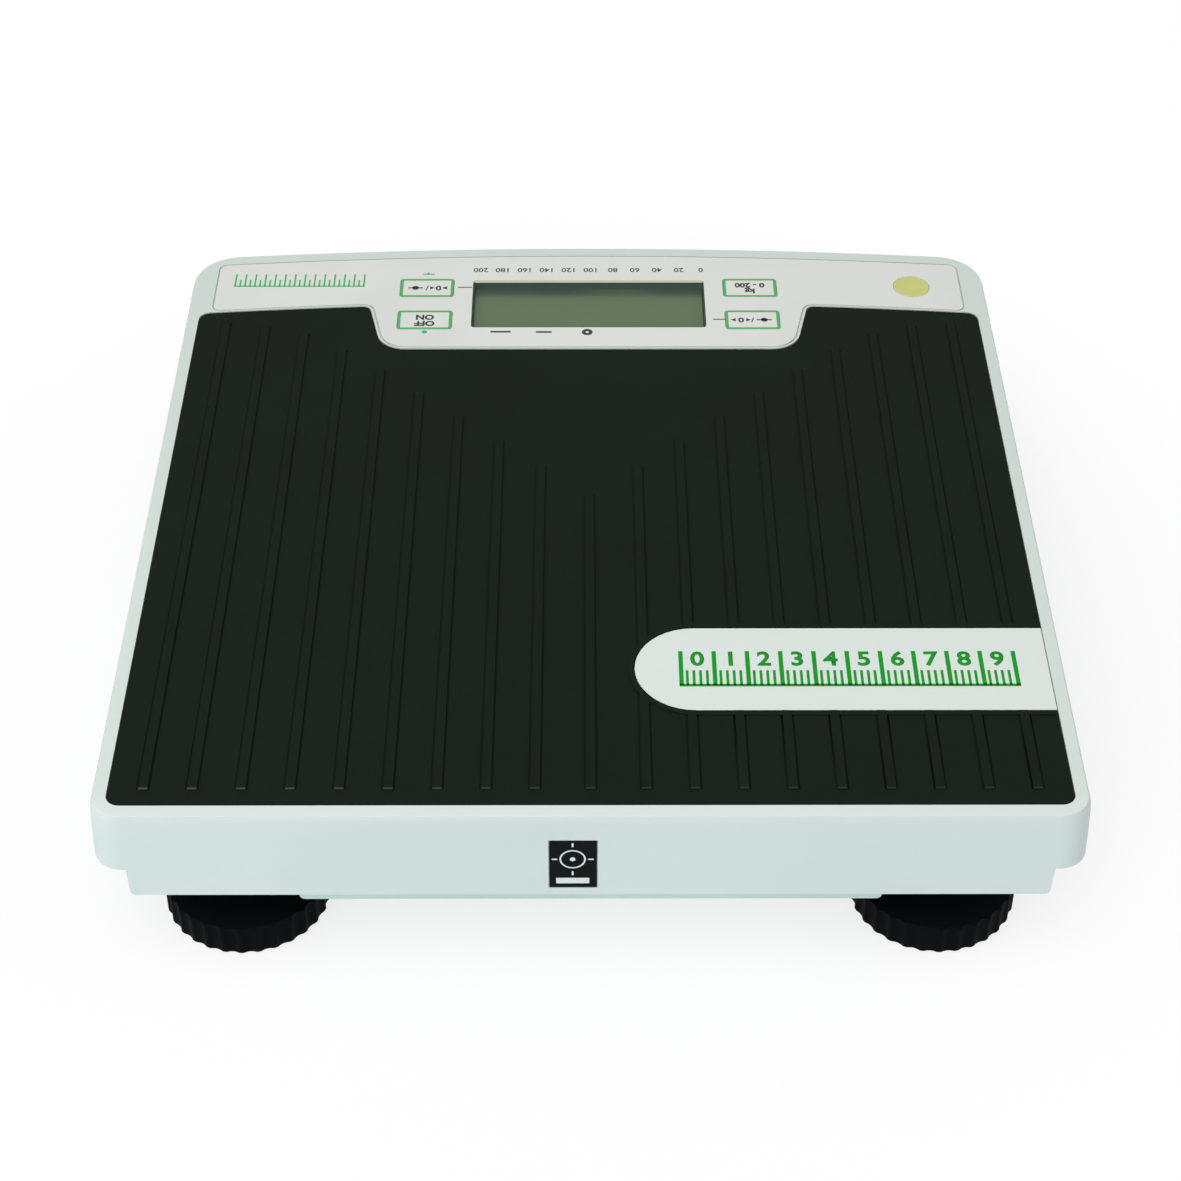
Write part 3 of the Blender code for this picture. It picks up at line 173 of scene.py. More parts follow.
def carve(piece, tool):
    modify(piece, "BOOLEAN", operation="DIFFERENCE", solver="EXACT", object=tool)
    bpy.data.objects.remove(tool, do_unlink=True)


def addBox(name, low, high):
    deselect()
    centre = [(a + b) / 2 for a, b in zip(low, high)]
    bpy.ops.mesh.primitive_cube_add(size=1, location=centre, scale=[b - a for a, b in zip(low, high)])
    piece = named(name)
    settle(piece)
    return piece


def addRod(name, centre, radius, low, high, steps):
    deselect()
    bpy.ops.mesh.primitive_cylinder_add(
        vertices=steps, radius=radius, depth=high - low, location=(centre[0], centre[1], (low + high) / 2))
    piece = named(name)
    settle(piece)
    return piece


def refine(node, width, segments=2):
    # a copy of a CAD solid with merged points and softened edges
    piece = bpy.data.objects.new(node + "_fine", nodes[node].data.copy())
    bpy.context.scene.collection.objects.link(piece)
    edit(piece, "VERT", True)
    bpy.ops.mesh.remove_doubles(threshold=mergeGap)
    bpy.ops.mesh.dissolve_limited(angle_limit=flatTurn)
    done()
    focus(piece)
    if piece.data.has_custom_normals:
        bpy.ops.mesh.customdata_custom_splitnormals_clear()
    if width:
        soften(piece, width, segments)
    shade(piece)
    return piece


def fit(piece, body, slot, finish, *replaced):
    piece.data.materials.clear()
    piece.data.materials.append(finish)
    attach(piece, body)
    if replaced:
        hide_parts(*replaced)
    return piece


def dress(node, finish):
    # a CAD solid keeps its shape and takes a finish
    holder = nodes[node]
    if not holder.material_slots:
        holder.data.materials.append(finish)
    for item in holder.material_slots:
        item.material = finish


# Shader sums

class Wire:
    # a node's output, on which sums are written as in Python
    def __init__(self, owner, socket):
        self.owner = owner
        self.socket = socket

    def __add__(self, other):
        return self.owner.sum("ADD", self, other)

    def __sub__(self, other):
        return self.owner.sum("SUBTRACT", self, other)

    def __rsub__(self, other):
        return self.owner.sum("SUBTRACT", other, self)

    def __mul__(self, other):
        return self.owner.sum("MULTIPLY", self, other)

    def __pow__(self, other):
        return self.owner.sum("POWER", self, other)

    def __rpow__(self, other):
        return self.owner.sum("POWER", other, self)

    def over(self, edge):
        return self.owner.sum("GREATER_THAN", self, edge)

    def under(self, edge):
        return self.owner.sum("LESS_THAN", self, edge)

    def abs(self):
        return self.owner.sum("ABSOLUTE", self)

    def most(self, other):
        return self.owner.sum("MAXIMUM", self, other)

    def soft(self, start, end, low=0.0, high=1.0):
        # goes smoothly from low to high
        return self.owner.node(
            "MapRange", {"interpolation_type": "SMOOTHSTEP", "clamp": True},
            {"Value": self, "From Min": start, "From Max": end, "To Min": low, "To Max": high})

    __radd__ = __add__
    __rmul__ = __mul__


class Tree:
    # the nodes of a material or of the world
    def __init__(self, tree):
        self.tree = tree

    def node(self, kind, settings=None, values=None, out=0):
        item = self.tree.nodes.new("ShaderNode" + kind)
        for key, value in (settings or {}).items():
            setattr(item, key, value)
        for key, value in (values or {}).items():
            self.plug(item.inputs[key], value)
        return Wire(self, item.outputs[out])

    def plug(self, socket, value):
        if isinstance(value, Wire):
            self.tree.links.new(value.socket, socket)
        else:
            socket.default_value = value

    def sum(self, operation, a, b=0.0):
        return self.node("Math", {"operation": operation}, {0: a, 1: b})

    def seenDirectly(self):
        # true for what the camera sees itself, in a reflection or through glass
        rays = [self.node("LightPath", out=f"Is {ray} Ray") for ray in ("Camera", "Glossy", "Transmission")]
        return rays[0].most(rays[1]).most(rays[2])


class Paint(Tree):
    # a material on Object coordinates
    def __init__(self, name, colour, rough, metal=0.0, **values):
        self.material = bpy.data.materials.new(name)
        self.material.use_nodes = True
        super().__init__(self.material.node_tree)
        self.shader = self.tree.nodes["Principled BSDF"]
        self.material.diffuse_color = (*colour, 1.0)
        self.set("Base Color", (*colour, 1.0))
        self.set("Roughness", rough)
        self.set("Metallic", metal)
        for key, value in values.items():
            self.set(key.replace("_", " "), value)
        self.place = self.node("TexCoord", out="Object")

    def set(self, key, value):
        self.plug(self.shader.inputs[key], value)

    def mix(self, share, first, second):
        first, second = (value if isinstance(value, Wire) else (*value, 1.0) for value in (first, second))
        return self.node("Mix", {"data_type": "RGBA"}, {0: share, 6: first, 7: second}, 2)

    def noise(self, scale, detail=2.0, rough=0.5, place=None):
        return self.node("TexNoise", {"noise_dimensions": "3D"}, {
            "Vector": place or self.place, "Scale": scale, "Detail": detail, "Roughness": rough})

    def cells(self, scale, feature="F1"):
        return self.node("TexVoronoi", {"feature": feature}, {"Vector": self.place, "Scale": scale})

    def axes(self, centre=None):
        # x, y and z, counted from a point if one is given
        place = self.place
        if centre:
            place = self.node("Mapping", {"vector_type": "TEXTURE"}, {"Vector": place, "Location": centre})
        split = self.node("SeparateXYZ", None, {"Vector": place})
        return [Wire(self, split.socket.node.outputs[index]) for index in range(3)]

    def reach(self, x=0.0, y=0.0):
        # how far a point lies from an upright line
        across, along, _ = self.axes((x, y, 0.0))
        return (across * across + along * along) ** 0.5

    def bump(self, height, distance, strength):
        wire = self.node("Bump", None, {"Height": height, "Distance": distance, "Strength": strength})
        self.set("Normal", wire)


# Camera and light

camera = {
    "place": (-0.0031, -0.727775, 0.6518), "lens": 77.80, "sensor": 36.0, "nearest": 0.01,
    "tilt": 49.0, "pan": -0.28, "roll": 0.14,
}
lights = {
    "world": 0.34, "aim": (0.0, 0.0, 0.05),
    "overhead": {"place": (-0.3, -0.5, 1.9), "size": 1.6, "power": 20.4},
    "front": {"place": (-1.1, -1.7, 1.35), "size": 1.3, "power": 19.7},
    "side": {"place": (1.9, 0.3, 1.1), "size": 1.2, "power": 3.0},
}
ground = {
    "radius": 1.2, "steps": 96, "ring": 0.5, "colour": (0.90, 0.90, 0.90), "rough": 0.6,
    "near": 0.17, "far": 0.32, "nearShare": 0.78,  # plain white from far outwards, mostly white within near
}


def makeCamera():
    data = bpy.data.cameras.new("photoCamera")
    data.lens = camera["lens"]
    data.sensor_width = camera["sensor"]
    data.clip_start = camera["nearest"]
    item = bpy.data.objects.new("photoCamera", data)
    turn = Matrix.Rotation(math.radians(camera["pan"]), 4, "Z")
    turn = turn @ Matrix.Rotation(math.radians(camera["tilt"]), 4, "X")
    turn = turn @ Matrix.Rotation(math.radians(camera["roll"]), 4, "Z")
    item.matrix_world = Matrix.Translation(camera["place"]) @ turn
    bpy.context.scene.collection.objects.link(item)
    bpy.context.scene.camera = item


def makeLamp(name):
    spec = lights[name]
    data = bpy.data.lights.new(name + "Lamp", "AREA")
    data.size = spec["size"]
    data.energy = spec["power"]
    item = bpy.data.objects.new(name + "Lamp", data)
    item.location = spec["place"]
    toward = Vector(lights["aim"]) - Vector(spec["place"])
    item.rotation_euler = toward.to_track_quat("-Z", "Y").to_euler()
    bpy.context.scene.collection.objects.link(item)


def makeWorld():
    # a white ground for the eye, a weaker light on the object
    world = bpy.data.worlds.new("studio")
    world.use_nodes = True
    bpy.context.scene.world = world
    sky = Tree(world.node_tree)
    back = world.node_tree.nodes["Background"]
    strength = {"Value": sky.seenDirectly(), "To Min": lights["world"], "To Max": 1.0}
    sky.plug(back.inputs["Strength"], sky.node("MapRange", None, strength))
    sky.plug(back.inputs["Color"], (1.0, 1.0, 1.0, 1.0))


def makeFloor():
    deselect()
    bpy.ops.mesh.primitive_circle_add(
        vertices=ground["steps"], radius=ground["radius"], fill_type="NGON", location=(0, 0, 0))
    disc = named("studioFloor")
    edit(disc, everything=True)
    bpy.ops.mesh.inset(thickness=ground["ring"])
    done()
    paint = Paint("paleFloor", ground["colour"], ground["rough"])
    share = paint.seenDirectly() * paint.reach().soft(ground["near"], ground["far"], ground["nearShare"], 1.0)
    lit = Wire(paint, paint.shader.outputs[0])
    blend = paint.node("MixShader", None, {0: share, 1: lit, 2: paint.node("Emission")})
    paint.plug(paint.tree.nodes["Material Output"].inputs["Surface"], blend)
    disc.data.materials.append(paint.material)


bpy.context.scene.view_settings.view_transform = "Standard"
makeCamera()
for lampName in ("overhead", "front", "side"):
    makeLamp(lampName)
makeWorld()
makeFloor()
print("camera, lamps and floor are set")


# Finishes: a noise has its scale, detail and roughness, a band its start and end

finishes = {
    # the housing's topFront and topRear colours are painted light and shade on its upper face
    "housing": {"colour": (0.635, 0.745, 0.740), "rough": 0.42, "shine": 0.35, "tone": 0.025,
                "topFront": (0.685, 0.765, 0.740), "topRear": (0.610, 0.695, 0.640)},
    # the tray plastic is the housing's plastic painted darker: painted shade on the strip under the front
    # wall
    "tray": {"colour": (0.515, 0.68, 0.665), "rough": 0.48, "shine": 0.35, "tone": 0.03},
    "overlay": {"colour": (0.722, 0.735, 0.698), "rough": 0.45, "shine": 0.35, "tone": 0.03,
                "grain": 3200.0, "depth": 0.012 * mm},
    "badge": {"colour": (0.70, 0.765, 0.725), "rough": 0.36, "shine": 0.4, "tone": 0.02,
              "grain": 3600.0, "depth": 0.008 * mm},
    "key": {"colour": (0.725, 0.74, 0.70), "rough": 0.45, "shine": 0.35, "tone": 0.03,
            "grain": 3200.0, "depth": 0.012 * mm},
    "label": {"colour": (0.0035, 0.006, 0.0055), "rough": 0.5, "shine": 0.05, "tone": 0.05,
              "grain": 3000.0, "depth": 0.01 * mm},
    "surround": {"colour": (0.060, 0.104, 0.084), "rough": 0.5, "shine": 0.05, "tone": 0.05,
                 "grain": 3000.0, "depth": 0.01 * mm},
    "wheel": {"colour": (0.0016, 0.0031, 0.0033), "rough": 0.58, "shine": 0.03},
    "box": {"colour": (0.022, 0.022, 0.024), "rough": 0.5},
    "cup": {"colour": (0.70, 0.70, 0.68), "rough": 0.5},
    "mat": {"colour": (0.0062, 0.0098, 0.0062), "rough": 0.74, "shine": 0.06,
            # the ribs' near ends take a painted highlight, brightest at the left
            "endHighlight": {"colour": (0.050, 0.078, 0.085), "rise": (64.30 * mm, 64.45 * mm),
                     "end": (-149.3 * mm, -148.6 * mm), "fade": (-120.0 * mm, 20.0 * mm), "least": 0.35}},
    "pad": {"colour": (0.011, 0.011, 0.0105), "rough": 0.8, "shine": 0.2, "grain": 900.0},
    "greySheath": {"colour": (0.17, 0.17, 0.18), "rough": 0.5, "grain": 1500.0, "depth": 0.03 * mm},
    "redSheath": {"colour": (0.34, 0.018, 0.015), "rough": 0.45, "grain": 1500.0, "depth": 0.03 * mm},
    "zinc": {"colour": (0.62, 0.62, 0.60), "rough": 0.30},
    "steel": {"colour": (0.52, 0.53, 0.54), "rough": 0.36, "along": "X", "grain": 700.0},
    "nickel": {"colour": (0.60, 0.58, 0.53), "rough": 0.25, "along": "Z"},
    "aluminium": {"colour": (0.70, 0.71, 0.72), "rough": 0.38, "along": "Y"},
    "brass": {"colour": (0.72, 0.50, 0.20), "rough": 0.34, "along": "Z"},
    "green": {"colour": (0.004, 0.285, 0.016), "rough": 0.5, "shine": 0.15},
    "softGreen": {"colour": (0.075, 0.43, 0.12), "rough": 0.5, "shine": 0.2},
    "cream": {"colour": (0.56, 0.58, 0.39), "rough": 0.5},
    "ink": {"colour": (0.03, 0.035, 0.03), "rough": 0.5},
    "white": {"colour": (0.68, 0.77, 0.76), "rough": 0.45},
}
moulded = {
    "shine": 0.4, "tone": 0.06, "brightest": 0.95, "grain": 2600.0, "grainDetail": 2.0, "grainRough": 0.6,
    "depth": 0.02 * mm, "flow": (9.0, 3.0, 0.55), "flowBand": (0.35, 0.65), "flowHeight": 2.0,
    "speck": (1400.0, 1.0), "smudge": (38.0, 4.0, 0.65), "smudgeBand": (0.52, 0.75), "smudgeShare": 0.10,
    "smudgeTone": 0.90, "smoother": 0.05, "flowRough": 0.08, "speckRough": 0.06, "smudgeRough": 0.05,
    "bump": 0.6, "topLightHeight": (61.0 * mm, 64.3 * mm), "topShadeFromRim": (-160.0 * mm, -145.0 * mm, 0.0, 0.55),
    "topShadeToRear": (-100.0 * mm, 120.0 * mm, 0.0, 0.45),
}
leathery = {
    "shine": 0.3, "grain": 1100.0, "depth": 0.06 * mm, "cloud": (14.0, 4.0, 0.6), "cloudBand": (0.35, 0.8),
    "cloudTone": 1.3, "fineGrain": 2.4, "fineDetail": 2.0, "fineRough": 0.6, "dustBand": (0.62, 0.78),
    "dust": 0.05, "dustTone": 3.0, "dustLift": 0.01, "cloudRough": 0.10, "cellRough": 0.10,
    "cellHeight": 0.8, "fineHeight": 0.5, "bump": 0.8,
}
rolled = {
    "along": "", "stretch": 0.04, "grain": 900.0, "grainDetail": 3.0, "grainRough": 0.6,
    "cloud": (60.0, 3.0, 0.6), "cloudBand": (0.35, 0.7), "dullTone": 0.78, "lineRough": 0.12,
    "cloudRough": 0.08, "smoother": 0.06, "depth": 0.01 * mm, "bump": 0.5,
}
screened = {
    "shine": 0.3, "cover": (2200.0, 2.0, 0.6), "thinBand": (0.45, 0.8), "thinShare": 0.6,
    "thinTone": 1.25, "thinLift": 0.002, "thinRough": 0.08,
}


def plastic(name):
    # moulded plastic: a fine grain, faint flow marks and a little handling dirt
    spec = {**moulded, **finishes[name]}
    colour, rough, tone = spec["colour"], spec["rough"], spec["tone"]
    paint = Paint(name + "Plastic", colour, rough, Specular_IOR_Level=spec["shine"])
    flow = paint.noise(*spec["flow"])
    speck = paint.noise(*spec["speck"])
    smudge = paint.noise(*spec["smudge"]).soft(*spec["smudgeBand"])
    darker = [value * (1 - tone) for value in colour]
    lighter = [min(value * (1 + tone / 2), spec["brightest"]) for value in colour]
    dirty = [value * spec["smudgeTone"] for value in colour]
    base = paint.mix(flow.soft(*spec["flowBand"]), darker, lighter)
    base = paint.mix(smudge * spec["smudgeShare"], base, dirty)
    if "topRear" in spec:
        # painted light and shade on the upper face: lighter than the front face just behind the front rim,
        # darker towards the back
        _, y, z = paint.axes()
        share = y.soft(*spec["topShadeFromRim"]) + y.soft(*spec["topShadeToRear"])
        topLitColour = paint.mix(share, spec["topFront"], spec["topRear"])
        base = paint.mix(z.soft(*spec["topLightHeight"]), base, topLitColour)
    paint.set("Base Color", base)
    uneven = flow * spec["flowRough"] + speck * spec["speckRough"] + smudge * spec["smudgeRough"]
    paint.set("Roughness", rough - spec["smoother"] + uneven)
    grain = paint.noise(spec["grain"], spec["grainDetail"], spec["grainRough"])
    paint.bump(grain + flow * spec["flowHeight"], spec["depth"], spec["bump"])
    return paint.material


def rubber(name):
    # leathery cells, dust in the low places and a dull sheen
    spec = {**leathery, **finishes[name]}
    colour, rough = spec["colour"], spec["rough"]
    paint = Paint(name + "Rubber", colour, rough, Specular_IOR_Level=spec["shine"])
    cell = paint.cells(spec["grain"])
    cloud = paint.noise(*spec["cloud"])
    fine = paint.noise(spec["grain"] * spec["fineGrain"], spec["fineDetail"], spec["fineRough"])
    greyed = [value * spec["cloudTone"] for value in colour]
    dusty = [value * spec["dustTone"] + spec["dustLift"] for value in colour]
    base = paint.mix(cloud.soft(*spec["cloudBand"]), colour, greyed)
    base = paint.mix(fine.soft(*spec["dustBand"]) * spec["dust"], base, dusty)
    if "endHighlight" in spec:
        # painted highlight on the near ends of the ribs, brightest at the left
        endHighlight = spec["endHighlight"]
        x, y, z = paint.axes()
        high = z.soft(*endHighlight["rise"])
        highlit = high * (1 - y.soft(*endHighlight["end"])) * x.soft(*endHighlight["fade"], 1.0, endHighlight["least"])
        base = paint.mix(highlit, base, endHighlight["colour"])
    paint.set("Base Color", base)
    paint.set("Roughness", rough + cloud * spec["cloudRough"] - cell * spec["cellRough"])
    paint.bump(cell * spec["cellHeight"] + fine * spec["fineHeight"], spec["depth"], spec["bump"])
    return paint.material


def metal(name):
    # plated or turned metal with fine lines along one axis
    spec = {**rolled, **finishes[name]}
    colour, rough = spec["colour"], spec["rough"]
    paint = Paint(name + "Metal", colour, rough, 1.0)
    stretch = [spec["stretch"] if axis == spec["along"] else 1 for axis in "XYZ"]
    place = paint.node("Mapping", {"vector_type": "POINT"}, {"Vector": paint.place, "Scale": stretch})
    lines = paint.noise(spec["grain"], spec["grainDetail"], spec["grainRough"], place)
    cloud = paint.noise(*spec["cloud"])
    dull = [value * spec["dullTone"] for value in colour]
    paint.set("Base Color", paint.mix(cloud.soft(*spec["cloudBand"]), colour, dull))
    uneven = lines * spec["lineRough"] + cloud * spec["cloudRough"]
    paint.set("Roughness", rough - spec["smoother"] + uneven)
    paint.bump(lines, spec["depth"], spec["bump"])
    return paint.material


def printed(name):
    # screen printed ink with slightly ragged cover
    spec = {**screened, **finishes[name]}
    colour, rough = spec["colour"], spec["rough"]
    paint = Paint(name + "Ink", colour, rough, Specular_IOR_Level=spec["shine"])
    thin = paint.noise(*spec["cover"])
    lighter = [value * spec["thinTone"] + spec["thinLift"] for value in colour]
    share = thin.soft(*spec["thinBand"]) * spec["thinShare"]
    paint.set("Base Color", paint.mix(share, colour, lighter))
    paint.set("Roughness", rough + thin * spec["thinRough"])
    return paint.material


makers = {
    plastic: ("housing", "tray", "overlay", "badge", "key", "label", "surround", "wheel", "box", "cup"),
    rubber: ("mat", "pad", "greySheath", "redSheath"),
    metal: ("zinc", "steel", "nickel", "aluminium", "brass"),
    printed: ("green", "softGreen", "cream", "ink", "white"),
}
looks = {name: maker(name) for maker, names in makers.items() for name in names}
print("finishes are mixed")


# Housing

housing = {"edge": 0.12 * mm, "trayEdge": 0.3 * mm}


def makeHousing():
    cover = refine("top_cover", housing["edge"])
    fit(cover, "root", "housing", looks["housing"], "top_cover")
    # the tray's darker colour is painted shade for the strip under the front wall
    tray = refine("base_tray", housing["trayEdge"])
    fit(tray, "root", "tray", looks["tray"], "base_tray")


makeHousing()
print("housing is finished")


# Mat and badge

mat = {
    "ribRise": 0.5 * mm, "slack": 0.05 * mm, "edge": 0.14 * mm, "badgeEdge": 0.18 * mm,
    "groove": 0.7 * mm, "leftDepth": 0.32 * mm, "rightDepth": 0.5 * mm, "clear": 0.1 * mm,
    "shallowFrom": -60.0 * mm, "shallow": 0.35,
}


def ribSpots(piece, ribTop):
    # the low and high corner of each rib, read from its top face
    spots = []
    for face in piece.data.polygons:
        if face.normal.z > 0.9 and face.center.z > ribTop - mat["slack"]:
            points = [piece.data.vertices[index].co for index in face.vertices]
            low = (min(point.x for point in points), min(point.y for point in points))
            high = (max(point.x for point in points), max(point.y for point in points))
            spots.append((low, high))
    return spots


def cutGrooves(sheet):
    # a fine channel down each side of every rib, the right one deeper, both shallower at the rear
    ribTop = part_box("platform_mat")[1].z
    top = ribTop - mat["ribRise"]
    bars = []
    for low, high in ribSpots(sheet, ribTop):
        for x, depth in ((low[0] - mat["groove"], mat["leftDepth"]), (high[0], mat["rightDepth"])):
            near = (x, low[1], top - depth)
            far = (x + mat["groove"], high[1], top + mat["clear"])
            bars.append(addBox("groove", near, far))
    bars = weld(bars, "grooves")
    pickEdges(bars, lambda a, b: max(a.z, b.z) < top and min(a.y, b.y) > mat["shallowFrom"])
    bpy.ops.transform.resize(value=(1, 1, mat["shallow"]), center_override=(0, 0, top))
    done()
    carve(sheet, bars)


def makeMat():
    sheet = refine("platform_mat", 0)
    cutGrooves(sheet)
    soften(sheet, mat["edge"])
    shade(sheet)
    fit(sheet, "root", "mat", looks["mat"], "platform_mat")
    plate = refine("badge_plate", mat["badgeEdge"])
    fit(plate, "root", "badge", looks["badge"], "badge_plate")


makeMat()
print("mat is laid")


# Flat prints, drawn on the height of the band, with places and sizes in millimetres

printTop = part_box("keypad_overlay")[1].z


def addPatch(low, high):
    # a rectangle between two corners
    deselect()
    centre = ((low[0] + high[0]) / 2 * mm, (low[1] + high[1]) / 2 * mm, printTop)
    bpy.ops.mesh.primitive_plane_add(size=1, location=centre)
    patch = bpy.context.object
    patch.scale = ((high[0] - low[0]) * mm, (high[1] - low[1]) * mm, 1)
    settle(patch)
    return patch


def addBar(centre, width, height):
    x, y = centre
    return addPatch((x - width / 2, y - height / 2), (x + width / 2, y + height / 2))


def addDisc(centre, radius, steps=32):
    deselect()
    place = (centre[0] * mm, centre[1] * mm, printTop)
    bpy.ops.mesh.primitive_circle_add(vertices=steps, radius=radius * mm, fill_type="NGON", location=place)
    disc = bpy.context.object
    settle(disc)
    return disc


def addArrow(centre, radius, way):
    # a triangle that points along x
    arrow = addDisc((0, 0), radius, 3)
    place = Matrix.Translation((centre[0] * mm, centre[1] * mm, 0))
    arrow.data.transform(place @ Matrix.Rotation(-way * math.pi / 2, 4, "Z"))
    return arrow


def addLetters(words, centre, size, turned=True, bold=0.0):
    deselect()
    bpy.ops.object.text_add(location=(centre[0] * mm, centre[1] * mm, printTop))
    item = bpy.context.object
    item.data.body = words
    item.data.size = size * mm
    item.data.offset = bold * mm
    item.data.align_x = "CENTER"
    item.data.align_y = "CENTER"
    item.data.resolution_u = 3
    if turned:
        item.rotation_euler = (0, 0, math.pi)
    bpy.ops.object.convert(target="MESH")
    settle(bpy.context.object)
    return bpy.context.object


def addFrame(centre, width, height, corner, line):
    # the outline of a rectangle with round corners
    ring = addBar(centre, width, height)
    edit(ring, "VERT", True)
    bpy.ops.mesh.bevel(offset=corner * mm, segments=5, affect="VERTICES")
    done()
    edit(ring, everything=True)
    bpy.ops.mesh.inset(thickness=line * mm)
    bpy.ops.mesh.delete(type="FACE")
    done()
    return ring


def addRing(centre, radius, line):
    # its four round corners stop just short of each other
    return addFrame(centre, radius * 2, radius * 2, radius - tiny / mm, line)


def addRule(rule):
    # a base line with tall and short ticks
    low = rule["low"]
    parts = [addPatch((rule["start"], low), (rule["end"], low + rule["base"]))]
    step = (rule["end"] - rule["start"] - rule["tallLine"]) / rule["count"]
    for index in range(rule["count"] + 1):
        kind = "short" if index % rule["every"] else "tall"
        left = rule["start"] + step * index
        parts.append(addPatch((left, low + rule["base"] / 2), (left + rule[kind + "Line"], low + rule[kind])))
    return parts


def turnUp(piece):
    # every face of a flat print looks up
    pickFaces(piece, lambda centre, normal: normal.z < 0)
    bpy.ops.mesh.flip_normals()
    done()


def thicken(piece, depth):
    modify(piece, "SOLIDIFY", thickness=depth, offset=1.0)


# Display band

band = {
    "edge": 0.02 * mm, "keyEdge": 0.05 * mm, "ink": 0.03 * mm,
    "keySpread": 0.14 * mm, "setBack": 0.31 * mm, "holeMargin": 1.5 * mm,
    "frame": {"outset": 0.12, "corner": 0.9, "line": 1.1},
    "tick": {"centre": (-65.3, 145.0), "bar": (4.8, 0.7), "stem": 0.8, "rise": 1.2},
    "dot": {"centre": (-65.2, 104.3), "radius": 1.1},
    "rule": {"start": -144.0, "end": -91.0, "low": 136.0, "base": 0.8, "count": 26, "every": 2,
             "tall": 9.0, "tallLine": 0.7, "short": 5.0, "shortLine": 0.7},
    "strokes": ((-53.0, 135.3, -47.2, 135.9), (49.7, 112.7, 54.8, 113.3),
                (-39.0, 103.9, -31.0, 105.0), (-21.0, 103.7, -14.7, 104.8)),
    "ring": {"centre": (-0.6, 104.2), "radius": 2.15, "line": 1.45},
    "row": {"y": 148.2, "start": -44.0, "step": 9.0, "numbers": range(200, -1, -20), "size": 4.1,
            "bold": 0.06},
    # the window edge strip is a cream painted highlight along the window's far edge
    "windowEdgeHighlight": (-46.4, 138.9, 46.4, 140.7),
}
legends = {
    # each word with its rise above the key's middle, its size and its boldness
    "words": {"left_near": (("ON", 2.0, 4.6, 0.2), ("OFF", -2.3, 4.6, 0.2)),
              "right_far": (("0 - 200", 2.0, 4.2, 0.18), ("kg", -2.2, 4.4, 0.18))},
    # each sign with its place beside the middle, its size and its boldness
    "signs": (("0", 4.6, 4.6, 0.14), ("/", 0.0, 4.4, 0.08)),
    "arrows": ((7.4, -1), (1.9, 1)), "arrow": 1.3, "slider": -4.7, "bar": (6.0, 0.7), "knob": 1.35,
}
holes = [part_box(node) for node in ["display_window", "level_vial"] + ["key_" + name for name in keyNames]]


def printOn(parts, name, look, body="root", slot="overlay"):
    piece = weld(parts, name)
    edit(piece, everything=True)
    bpy.ops.mesh.normals_make_consistent(inside=False)
    done()
    turnUp(piece)
    thicken(piece, band["ink"])
    return fit(piece, body, slot, looks[look])


def keyLegend(name, x, y):
    words = legends["words"].get(name)
    if words:
        return [addLetters(word, (x, y + rise), size, bold=bold) for word, rise, size, bold in words]
    # zero between two arrows, a stroke, and a bar with a knob, the other way round at the right
    way = 1 if name.startswith("left") else -1
    parts = [addLetters(sign, (x + way * aside, y), size, bold=bold)
             for sign, aside, size, bold in legends["signs"]]
    parts += [addArrow((x + way * aside, y), legends["arrow"], turn) for aside, turn in legends["arrows"]]
    slider = (x + way * legends["slider"], y)
    return parts + [addBar(slider, *legends["bar"]), addDisc(slider, legends["knob"])]


def besideHole(point):
    # true beside the window, a key or the level
    margin = band["holeMargin"]
    return any(
        all(low[axis] - margin < point[axis] < high[axis] + margin for axis in (0, 1)) for low, high in holes)


def setWallsBack(piece, reach, test):
    # the upright faces that pass the test step back into the solid
    pickFaces(piece, lambda centre, normal: abs(normal.z) < 0.5 and test(centre))
    bpy.ops.transform.shrink_fatten(value=-reach, use_even_offset=True)
    done()


def makeOverlay():
    # the film's holes are a little wider than the solid's, and its outer edge leaves a clearer line
    sheet = refine("keypad_overlay", 0)
    setWallsBack(sheet, band["keySpread"], besideHole)
    setWallsBack(sheet, band["setBack"], lambda point: not besideHole(point))
    soften(sheet, band["edge"], 1)
    shade(sheet)
    fit(sheet, "root", "overlay", looks["overlay"], "keypad_overlay")


def makeKey(name):
    # the cap grows with its hole, and carries a printed frame and its legend
    node, body = "key_" + name, "key_" + name + "_cap"
    low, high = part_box(node)
    width, depth = (high - low).xy
    x, y, _ = middle(node)
    cap = refine(node, band["keyEdge"])
    edit(cap, everything=True)
    spread = band["keySpread"] * 2
    grow = (1 + spread / width, 1 + spread / depth, 1)
    bpy.ops.transform.resize(value=grow, center_override=(x, y, printTop))
    done()
    fit(cap, body, "key", looks["key"], node)
    x, y, width, depth = (value / mm for value in (x, y, width, depth))
    frameSize = band["frame"]
    outset = frameSize["outset"] * 2
    ring = addFrame((x, y), width + outset, depth + outset, frameSize["corner"], frameSize["line"])
    printOn([ring], "keyFrame_" + name, "softGreen", body, "key")
    printOn(keyLegend(name, x, y), "keyLegend_" + name, "ink", body, "key")


